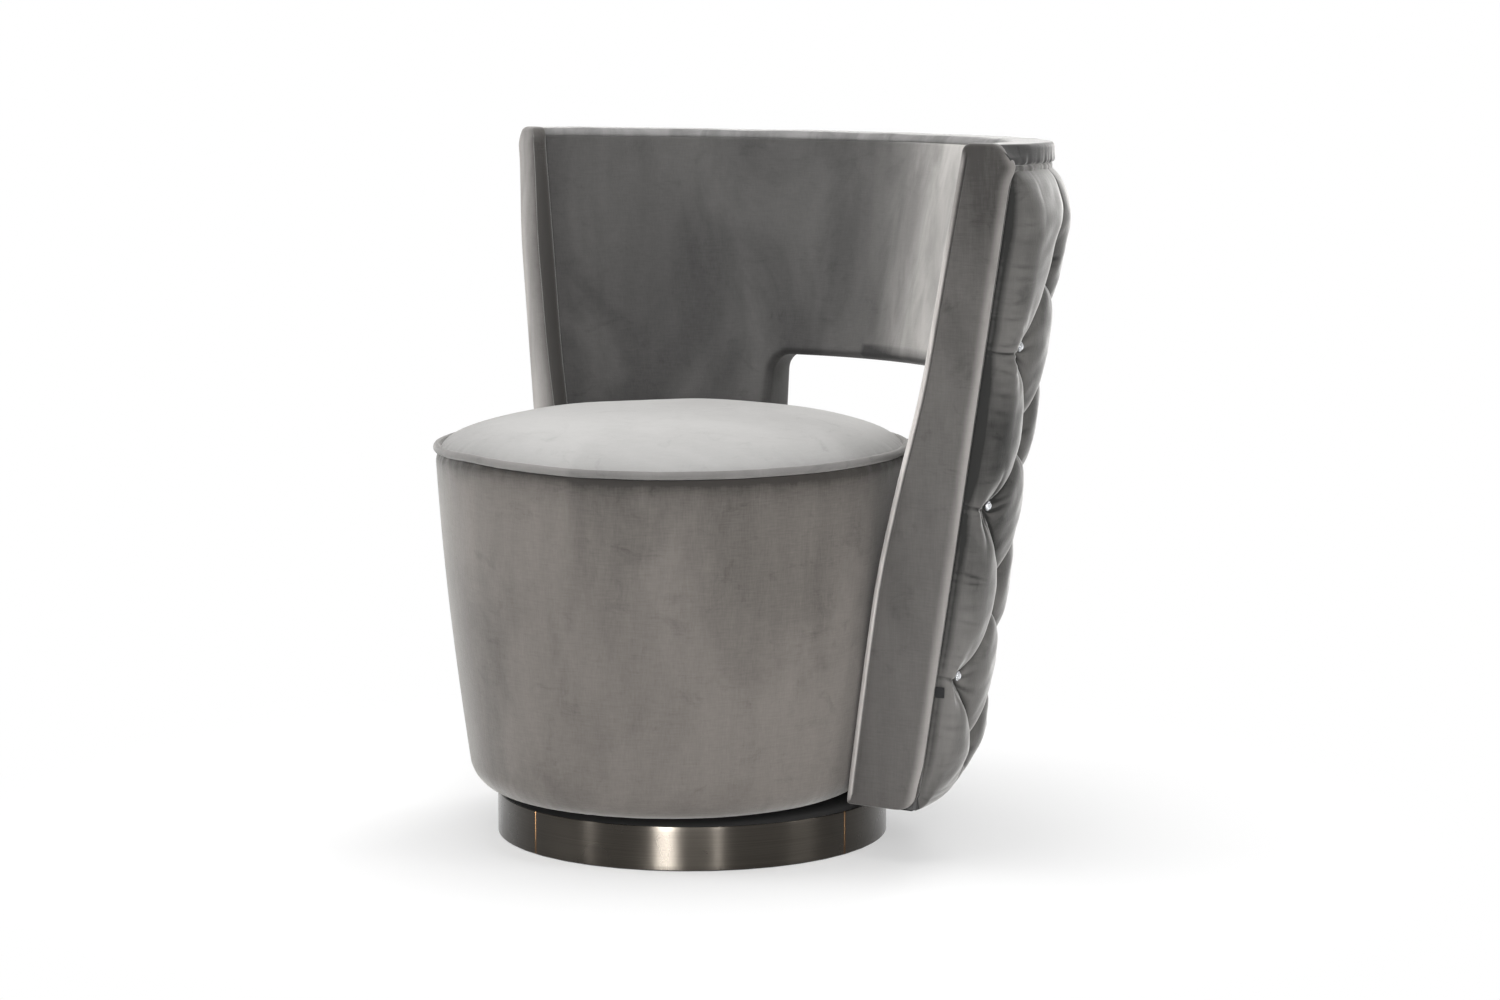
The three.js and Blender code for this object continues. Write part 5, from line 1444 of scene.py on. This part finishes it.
def edge_puckers(along_edge, distance, draw, spacing):
    """Short gathers that start at a sewn edge and die out within a few centimetres."""
    random = np.random.default_rng(SEED + draw)
    depth = np.zeros(np.broadcast(along_edge, distance).shape)
    for start in np.arange(float(along_edge.min()), float(along_edge.max()), spacing):
        middle = start + random.uniform(-0.4, 0.4) * spacing
        width, reach = random.uniform(1.8, 4.5) * MM, random.uniform(5, 22) * MM
        size, slant = random.uniform(0.1, 1.6) * MM, random.uniform(-0.35, 0.35)
        depth += size * bell(along_edge - middle - slant * distance, width) * np.exp(-distance / reach)
    return depth


print("crease helpers ready")

# %% [markdown]
# ## The tufted sheet
#
# The lattice, the creases and the border pleats are added up as one height over the border's own
# straight profile, and the sheet is cut open at the window like the inner one. Folds are found by
# comparing that height with a blurred copy of itself, and stored for the velvet as painted shade. The
# velvet is painted a little lighter at the foot, as painted light, and painted shade darkens one place
# on each flank.

# %% The tufted surface
TUFT_STEP = 2.0 * MM
TUFT_BORDER = np.array([0, 0.15, 0.6, 1.3]) * MM
TUFT_FOOT_CORNER = 23 * MM
TUFT_HEM = 30 * MM
TUFT_EDGE = 0.5 * MM
TUFT_MIDDLE = 0.45
FOOT_DROP = 2.6 * MM
FOOT_TURN = TUFT_FOOT_CORNER * math.pi / 2
BORDER_SLOPE = (BORDER_TOP_RADIUS - BORDER_FOOT_RADIUS) / (BACK_TOP - BACK_FOOT)
BORDER_STRETCH = math.hypot(1, BORDER_SLOPE)
WINDOW_MARGIN = 9 * MM
WINDOW_RISE = 24 * MM
BUTTON_SINK = 5.5 * MM
BUTTON_PULL = 0.75
SWELL_TOP = 26.5 * MM
SWELL_FOOT = 21 * MM
TOP_RISE = 64 * MM
TOP_SINK = 7.5 * MM
TOP_SINK_WIDTH = 9 * MM
SIDE_RISE = 34 * MM
SIDE_SINK = (5.5 * MM, 9 * MM)
SINK_WIDTH = 4.5 * MM
SIDE_FLOOR = (-1 * MM, 22 * MM)
FLOOR_REACH = 75 * MM
FOOT_START = 26 * MM
FOOT_RISE = 60 * MM
PLEAT_DEPTH = 2.2 * MM
SWELL_WAVES = (0.05, 0.17, 12)
RUMPLE = (0.5 * MM, 0.026, 17)
CREASE_MARGIN = 8 * MM
SIDE_GATHERS = (13, 13 * MM)
TOP_GATHERS = (14, 10 * MM)
SEAM_SHADE = 0.10
SEAM_SHADE_REACH = 11 * MM
FOOT_PAINTED_LIGHT = 0.5
FOOT_SPAN = (0.05, 0.45)
FLANK_PAINTED_SHADE = -0.45
FLANK_SHADE_LEVEL = 0.60
FLANK_SHADE_HEIGHT = 0.09
FLANK_SHADE_REACH = 95 * MM


def back_level(height):
    """0 at the foot of the back and 1 at its top."""
    return np.clip((height - BACK_FOOT) / (BACK_TOP - BACK_FOOT), 0, 1)


def button_floor(to_side, height):
    """Height of the buttons over the border: sunk in, but riding higher beside the ends."""
    raised = SIDE_FLOOR[0] + (SIDE_FLOOR[1] - SIDE_FLOOR[0]) * back_level(height)
    return raised * np.exp(-(to_side / FLOOR_REACH) ** 4) - BUTTON_SINK


def border_path(along):
    """Radius, height and outward direction of the plain border at a length along its profile.

    The profile starts under the back at a negative length, turns the foot corner at 0 and then
    runs straight up."""
    turn = np.clip(along / FOOT_TURN, 0, 1) * math.pi / 2
    straight = np.maximum(along - FOOT_TURN, 0) / BORDER_STRETCH
    radius = BORDER_FOOT_RADIUS + TUFT_EDGE - TUFT_FOOT_CORNER * (1 - np.sin(turn)) + straight * BORDER_SLOPE
    radius = radius + np.minimum(along, 0)
    height = BACK_FOOT - FOOT_DROP + TUFT_FOOT_CORNER * (1 - np.cos(turn)) + straight
    out_r = np.where(along < FOOT_TURN, np.sin(turn), 1 / BORDER_STRETCH)
    out_z = np.where(along < FOOT_TURN, -np.cos(turn), -BORDER_SLOPE / BORDER_STRETCH)
    return radius, height, out_r, out_z


def tuft_grid(mean_radius):
    """Arc and length along the profile of each point, closer together at the edges, and their limits."""
    width = math.radians(TUFT_END_ANGLE) * mean_radius
    arc = edged_steps(-width, width, TUFT_BORDER, 2.4 * MM, 2.0 * MM, TUFT_STEP)
    length = FOOT_TURN + (TUFT_TOP - BACK_FOOT + FOOT_DROP - TUFT_FOOT_CORNER) * BORDER_STRETCH
    hem = (-TUFT_HEM, -TUFT_HEM / 2, -4 * MM, -1.5 * MM)
    even = np.arange(0, length - 1.8 * MM, TUFT_STEP)
    arc, along = np.meshgrid(arc, np.concatenate([hem, even, (length - TUFT_BORDER)[::-1]]))
    return arc, along, width, length


def tuft_marks(out, level, to_side):
    """Painted shade in the folds, painted light at the foot and painted shade at one place on each flank."""
    # Painted shade in the hollows of the height, a little lighter on its ridges, and more beside the end
    # seams.
    folds = hollow(out, 14, 3.5 * MM) + 0.5 * hollow(out, 3, 0.6 * MM)
    folds = folds + SEAM_SHADE * np.exp(-to_side / SEAM_SHADE_REACH) * fade_in(level, 0.1, 0.4)
    # Painted shade at one place on each flank, and painted light towards the foot.
    flank_shade = bell(level - FLANK_SHADE_LEVEL, FLANK_SHADE_HEIGHT) * bell(to_side, FLANK_SHADE_REACH)
    return {"painted_shade": folds, "light_and_shade": FOOT_PAINTED_LIGHT * (1 - fade_in(level, *FOOT_SPAN)) + FLANK_PAINTED_SHADE * flank_shade}


def add_tufted_panel():
    """The tufted sheet: pillows, creases and gathers on the border's profile, held down at every edge."""
    mean_radius = float(border_radius(TUFT_MIDDLE))
    arc, along, width, length = tuft_grid(mean_radius)
    border_r, border_z, out_r, out_z = border_path(along)
    shape = window_shape(WINDOW_MARGIN)
    window_arc = arc / mean_radius * WINDOW_RADIUS
    window_z = border_z.copy()
    faces = cut_window(window_arc, window_z, shape)
    border_r = border_r + (window_z - border_z) * BORDER_SLOPE
    border_z = window_z
    arc = window_arc / WINDOW_RADIUS * mean_radius
    angle = np.degrees(arc / mean_radius)

    column, row = lattice(angle, border_z)
    pillow, lean = tuft_height(column, row)
    to_side = (width - np.abs(arc)) / mean_radius * border_r
    to_top = length - along
    to_window = np.maximum(window_distance(window_arc, window_z, *shape), 0)
    edges = rise(to_side, SIDE_RISE) * rise(to_window, WINDOW_RISE)
    for share in (to_top / TOP_RISE, (along - FOOT_START) / FOOT_RISE):
        edges = edges * np.sin(math.pi / 2 * np.clip(share, 0, 1))
    level = back_level(border_z)
    swell = SWELL_FOOT + (SWELL_TOP - SWELL_FOOT) * level
    uneven = 1 + slow_waves(arc, border_z, SWELL_WAVES)
    creases, pull = button_creases(angle, border_z, mean_radius)
    floor = button_floor(to_side, border_z)
    lifted = (swell * uneven - floor) * pillow * (1 - BUTTON_PULL * pull) + floor

    creases = creases * rise(to_side, CREASE_MARGIN)
    gathers = edge_puckers(border_z, to_side, *SIDE_GATHERS) + edge_puckers(arc, to_top, *TOP_GATHERS)
    rumple = slow_waves(arc * 0.6, border_z, RUMPLE) * pillow
    pleats = PLEAT_DEPTH * border_pleats(column, row)
    out = lifted * edges - (creases + gathers + pleats - rumple) * np.clip(edges * 1.6, 0, 1)
    side_sink = (SIDE_SINK[1] + (SIDE_SINK[0] - SIDE_SINK[1]) * level) * bell(to_side, SINK_WIDTH)
    sink = np.maximum(TOP_SINK * bell(to_top, TOP_SINK_WIDTH), side_sink)
    dip = rim_dip(angle) * np.clip((border_z - DIP_START) / (TUFT_TOP - DIP_START), 0, 1)
    radius = border_r + (out - sink) * out_r
    height = border_z + (out - sink) * out_z + lean * edges * out_r - dip
    points, faces, marks = used_only(round_point(angle, radius, height), faces,
                                     tuft_marks(out, level, to_side))
    piece = add_piece("back_tufted_velvet", points, faces, velvet_tufted_shaded, replaces=("back_outer_pad",),
                      marks=marks)


add_tufted_panel()

# %% [markdown]
# ## Crystal buttons
#
# Each button is a small faceted glass stone in a plain metal cup. The stone is built once, as rings of
# flat facets round a flat table, and forty-odd copies share that mesh. Flat shading keeps the facets
# crisp, which is what makes them glitter.

# %% Crystals
CRYSTAL_RADIUS = 4.4 * MM
CRYSTAL_SIDES = 8
CRYSTAL_TIP = -0.75
CRYSTAL_LEVELS = ((0.55, 0.62, 0.5), (0.86, 0.34, 0.0), (1.0, 0.0, 0.5), (0.97, -0.12, 0.5))
CUP_SIDES = 20
CUP_LEVELS = ((1.0, -0.05), (1.12, 0.10), (1.20, 0.0), (1.12, -0.35), (0.55, -0.95))
BUTTON_LIFT = 3.2 * MM


def stone_ring(form, sides, reach, lift, offset=0.0):
    """New points round the stone's axis, at shares of its radius outwards and upwards."""
    turns = [2 * math.pi * (k + offset) / sides for k in range(sides)]
    return [form.verts.new((CRYSTAL_RADIUS * reach * math.cos(turn), CRYSTAL_RADIUS * reach * math.sin(turn),
                            CRYSTAL_RADIUS * lift)) for turn in turns]


def join_rings(form, first, second):
    """Four-sided faces between two rings with as many points."""
    for a, b, c, d in zip(first, second, second[1:] + second[:1], first[1:] + first[:1]):
        form.faces.new((a, b, c, d))


def crystal_mesh():
    """A cut stone that looks along +Z, with its cup below: slot 0 is glass and slot 1 the cup."""
    form = bmesh.new()
    rings = [stone_ring(form, CRYSTAL_SIDES, *level) for level in CRYSTAL_LEVELS]
    form.faces.new(rings[0])
    for upper, lower, shift in ((0, 1, 1), (1, 2, 0)):
        for k in range(CRYSTAL_SIDES):
            n = (k + 1) % CRYSTAL_SIDES
            m = (k + shift) % CRYSTAL_SIDES
            form.faces.new((rings[upper][k], rings[lower][m], rings[upper][n]))
            form.faces.new((rings[upper][n], rings[lower][m], rings[lower][(m + 1) % CRYSTAL_SIDES]))
    join_rings(form, rings[2], rings[3])
    tip = form.verts.new((0, 0, CRYSTAL_RADIUS * CRYSTAL_TIP))
    for first, second, point in fan(rings[3], tip):
        form.faces.new((first, point, second))
    stone_faces = len(form.faces)
    cup = [stone_ring(form, CUP_SIDES, *level) for level in CUP_LEVELS]
    for inner, outer in zip(cup, cup[1:]):
        join_rings(form, inner, outer)
    form.faces.new(cup[-1][::-1])
    form.faces.ensure_lookup_table()
    for number, face in enumerate(form.faces):
        face.material_index = 0 if number < stone_faces else 1
        face.smooth = number >= stone_faces
    bmesh.ops.recalc_face_normals(form, faces=form.faces)
    mesh = bpy.data.meshes.new("tuft_crystal")
    form.to_mesh(mesh)
    form.free()
    mesh.materials.append(crystal_glass)
    mesh.materials.append(zinc_steel)
    return mesh


def add_crystals():
    """One crystal in each button's hollow, looking straight out of the flared back."""
    mesh = crystal_mesh()
    slope = math.atan2(BORDER_TOP_RADIUS - BORDER_FOOT_RADIUS, BACK_TOP - BACK_FOOT)
    for number, (angle, height) in enumerate(BUTTONS, 1):
        reach = float(border_radius(height))
        floor = button_floor(math.radians(TUFT_END_ANGLE - abs(angle)) * reach, height)
        place = round_point(angle, reach + TUFT_EDGE + float(floor) + BUTTON_LIFT, height)
        turned = math.radians(angle)
        outward = Vector((math.sin(turned) * math.cos(slope), math.cos(turned) * math.cos(slope),
                          -math.sin(slope)))
        facing = outward.to_track_quat("Z", "Y").to_matrix().to_4x4()
        stone = bpy.data.objects.new(f"tuft_crystal_{number:02d}", mesh)
        bpy.context.scene.collection.objects.link(stone)
        stone.matrix_world = Matrix.Translation(Vector(place)) @ facing
        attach(stone, "seat_unit")
    print("crystals placed:", len(BUTTONS))


add_crystals()

# %% [markdown]
# ## Welts, roll and tab
#
# A thin welt closes the joint between each end pad and the tufting. At the top it turns the corner and
# becomes a fatter, gathered roll under the band. A matching thin welt frames the window outside.
# A small bare cloth tab is caught in the seam on the right.

# %% Outside welt and roll
WELT_RADIUS = 1.7 * MM
WELT_SINK = 3.2 * MM
WELT_SIDES = 12
ROLL_RADIUS = 3.7 * MM
ROLL_INSET = 8.5 * MM
ROLL_GATHER = (0.12, 0.016, 15)
ROLL_DRIFT = (0.6 * MM, 0.06, 16)
ROLL_LEVEL = 33 * MM
WELT_ANGLE = 72.72
ROLL_HEIGHT = BACK_TOP - BAND_DROP - 3.6 * MM
WELT_CORNER = 11 * MM


def welt_line():
    """From the left foot up, along under the band and down to the right foot."""
    side_z = np.arange(BACK_FOOT + 1 * MM, ROLL_HEIGHT - WELT_CORNER, 3 * MM)
    corner_arc, corner_z = bend((WELT_CORNER, ROLL_HEIGHT - WELT_CORNER), WELT_CORNER, 180, 90, 8).T
    corner_angle = -WELT_ANGLE + np.degrees(corner_arc / float(border_radius(ROLL_HEIGHT)))
    top_angle = np.arange(corner_angle[-1] + 0.4, -corner_angle[-1] - 0.3, 0.4)
    up = np.full(len(side_z), -WELT_ANGLE)
    angle = np.concatenate([up, corner_angle, top_angle, -corner_angle[::-1], -up])
    top_z = np.full(len(top_angle), ROLL_HEIGHT)
    return angle, np.concatenate([side_z, corner_z, top_z, corner_z[::-1], side_z[::-1]])


def add_outside_welt():
    """One cord for the welt at both sides and the gathered roll between them."""
    angle, height = welt_line()
    level = np.clip(1 - (ROLL_HEIGHT - height) / ROLL_LEVEL, 0, 1) ** 2
    arc = np.radians(angle) * WAVE_RADIUS
    gather = 1 + level * slow_waves(arc, 0, ROLL_GATHER)
    radius = (WELT_RADIUS + (ROLL_RADIUS - WELT_RADIUS) * level) * gather
    rounding = np.maximum(BACK_FOOT + TUFT_FOOT_CORNER - height, 0) / TUFT_FOOT_CORNER
    tuck = TUFT_FOOT_CORNER * (1 - np.sqrt(1 - np.clip(rounding, 0, 0.999) ** 2))
    side_inset = end_tuck(height) + WELT_SINK
    reach = border_radius(height) - side_inset - (ROLL_INSET - side_inset) * level - tuck
    height = height + level * (slow_waves(arc, 0, ROLL_DRIFT) - rim_dip(angle))
    add_cord("back_outside_welt", round_point(angle, reach, height), radius, velvet_tufted_shaded, sides=WELT_SIDES,
             replaces=("back_end_piping_left", "back_end_piping_right"))


add_outside_welt()

# %% Window welt
WINDOW_WELT_GAP = 5.5 * MM
WINDOW_WELT_PROUD = 2.0 * MM
WINDOW_WELT_RADIUS = 3.0 * MM


def add_window_welt():
    """The welt round the window's outer opening."""
    arc, height = window_outline(WINDOW_WELT_GAP).T
    points = round_point(np.degrees(arc / WINDOW_RADIUS), border_radius(height) + WINDOW_WELT_PROUD, height)
    add_cord("window_outside_welt", points, WINDOW_WELT_RADIUS, velvet_edge, sides=WELT_SIDES, closed=True)


add_window_welt()

# %% Cloth tab
TAB_HEIGHT = 11 * MM
TAB_RAISE = 9 * MM
TAB_START = -10 * MM
TAB_RISE = 10.5 * MM
TAB_BACK = 0.6 * MM


def add_seam_tab():
    """A folded strip of black cloth that stands out of the seam and lies against the tufting's flank."""
    low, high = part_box("seam_tab")
    middle = (low.z + high.z) / 2 + TAB_RAISE
    reach = float(border_radius(middle))
    start = WELT_ANGLE - 0.15
    share = np.linspace(0, 1, 9)
    bow = (0.7 * np.sin(math.pi * share) + 0.25) * MM
    front, behind = (start - np.degrees((TAB_BACK * share + side * bow) / reach) for side in (1, -1))
    angle = np.concatenate([front, behind[::-1]])[None, :]
    radius = reach + TAB_START + TAB_RISE * np.concatenate([share, share[::-1]])[None, :]
    height = np.linspace(middle - TAB_HEIGHT / 2, middle + TAB_HEIGHT / 2, 7)[:, None]
    points = round_point(angle, radius, height)
    add_piece("seam_cloth_tab", points, capped_rows(*points.shape[:2]), black_lining, slot="black_cloth",
              replaces=("seam_tab",))


add_seam_tab()

# %% [markdown]
# ## The steel band
#
# The band is thin brushed sheet rolled round the plinth, with its long edges eased over. It is made
# of three lengths butted together, and the welding heat left a brown tint along each joint.
# Each length is turned from one section with many steps, because a reflection shows every flat.
# The mesh stores how near each point is to a joint, and the steel takes its tint from that.

# %% Plinth band
BAND_SHEET = 1.5 * MM
SHEET_EASE = BAND_SHEET * 0.6
BAND_JOINTS = (-3.0, 97.8, 222.0)
JOINT_GAP = 0.12
JOINT_STEPS = np.array([0, 0.15, 0.4, 0.8, 1.4])
TURN_STEP = 1.4
JOINT_TINT = 0.35
TINT_DEPTH = 0.85


def band_steel_section():
    """The section of the sheet, as radius and height, anticlockwise from its inner foot."""
    low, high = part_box("plinth_band")
    outer, inner = high.x, high.x - BAND_SHEET
    side = np.linspace(low.z + SHEET_EASE, high.z - SHEET_EASE, 9)[1:-1]
    return np.concatenate([[(inner, low.z)],
                           bend((outer - SHEET_EASE, low.z + SHEET_EASE), SHEET_EASE, -90, 0, 5),
                           [(outer, height) for height in side],
                           bend((outer - SHEET_EASE, high.z - SHEET_EASE), SHEET_EASE, 0, 90, 5),
                           [(inner, high.z)]])


def add_plinth_band():
    """Three closed lengths in one mesh. Joint angles are measured from -Y towards +X."""
    radius, height = band_steel_section().T
    points, faces, tints = np.zeros((0, 3)), [], []
    for start, end in zip(BAND_JOINTS, (*BAND_JOINTS[1:], BAND_JOINTS[0] + 360)):
        angle = edged_steps(start + JOINT_GAP, end - JOINT_GAP, JOINT_STEPS, 2.2 - JOINT_GAP, 2.1 - JOINT_GAP,
                            TURN_STEP)
        turned = np.radians(angle)[:, None]
        rows = np.stack([np.sin(turned) * radius, -np.cos(turned) * radius, height + 0 * turned], axis=-1)
        faces += [[len(points) + k for k in face[::-1]] for face in capped_rows(*rows.shape[:2])]
        points = np.concatenate([points, rows.reshape(-1, 3)])
        away = np.minimum(angle - start, end - angle)
        tints.append(np.repeat(TINT_DEPTH * bell(away, JOINT_TINT), len(radius)))
    add_piece("plinth_steel_band", points, faces, band_steel_dark_reflection, slot="banded_steel", replaces=("plinth_band",),
              body="plinth", marks={"joint": np.concatenate(tints)})


add_plinth_band()

# %% [markdown]
# ## Finishes for the parts that stay
#
# Boards, plates, screws, straps and linings already have their true shape in the frame, so they only
# get a finish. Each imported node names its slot, and each slot has one material here.

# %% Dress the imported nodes
SLOT_FINISH = {"zinc_steel": zinc_steel, "ball_steel": ball_steel, "plywood": raw_plywood,
               "seat_foam": open_foam, "webbing": seat_webbing, "black_cloth": black_lining,
               "grey_felt": grey_felt, "banded_steel": band_steel_dark_reflection, "velvet": velvet_back_shaded}
SHADE_BLACK_NODES = ("plinth_top_board", "plinth_bottom_board", "plinth_spacer_ring", "back_outer_skin",
               "back_inner_skin", "back_bottom_rail", "back_end_rib_left", "back_end_rib_right",
               "back_batten_left", "back_batten_right")


def dress_nodes():
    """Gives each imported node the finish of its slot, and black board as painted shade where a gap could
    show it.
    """
    finishes = {part["node"]: SLOT_FINISH[part["material_slot"]] for part in frame["record"]["subparts"]}
    finishes.update({name: black_shade_board for name in SHADE_BLACK_NODES})
    for name, node in frame["nodes"].items():
        for slot in node.material_slots:
            slot.material = finishes[name]
    print("nodes dressed:", len(finishes))


dress_nodes()
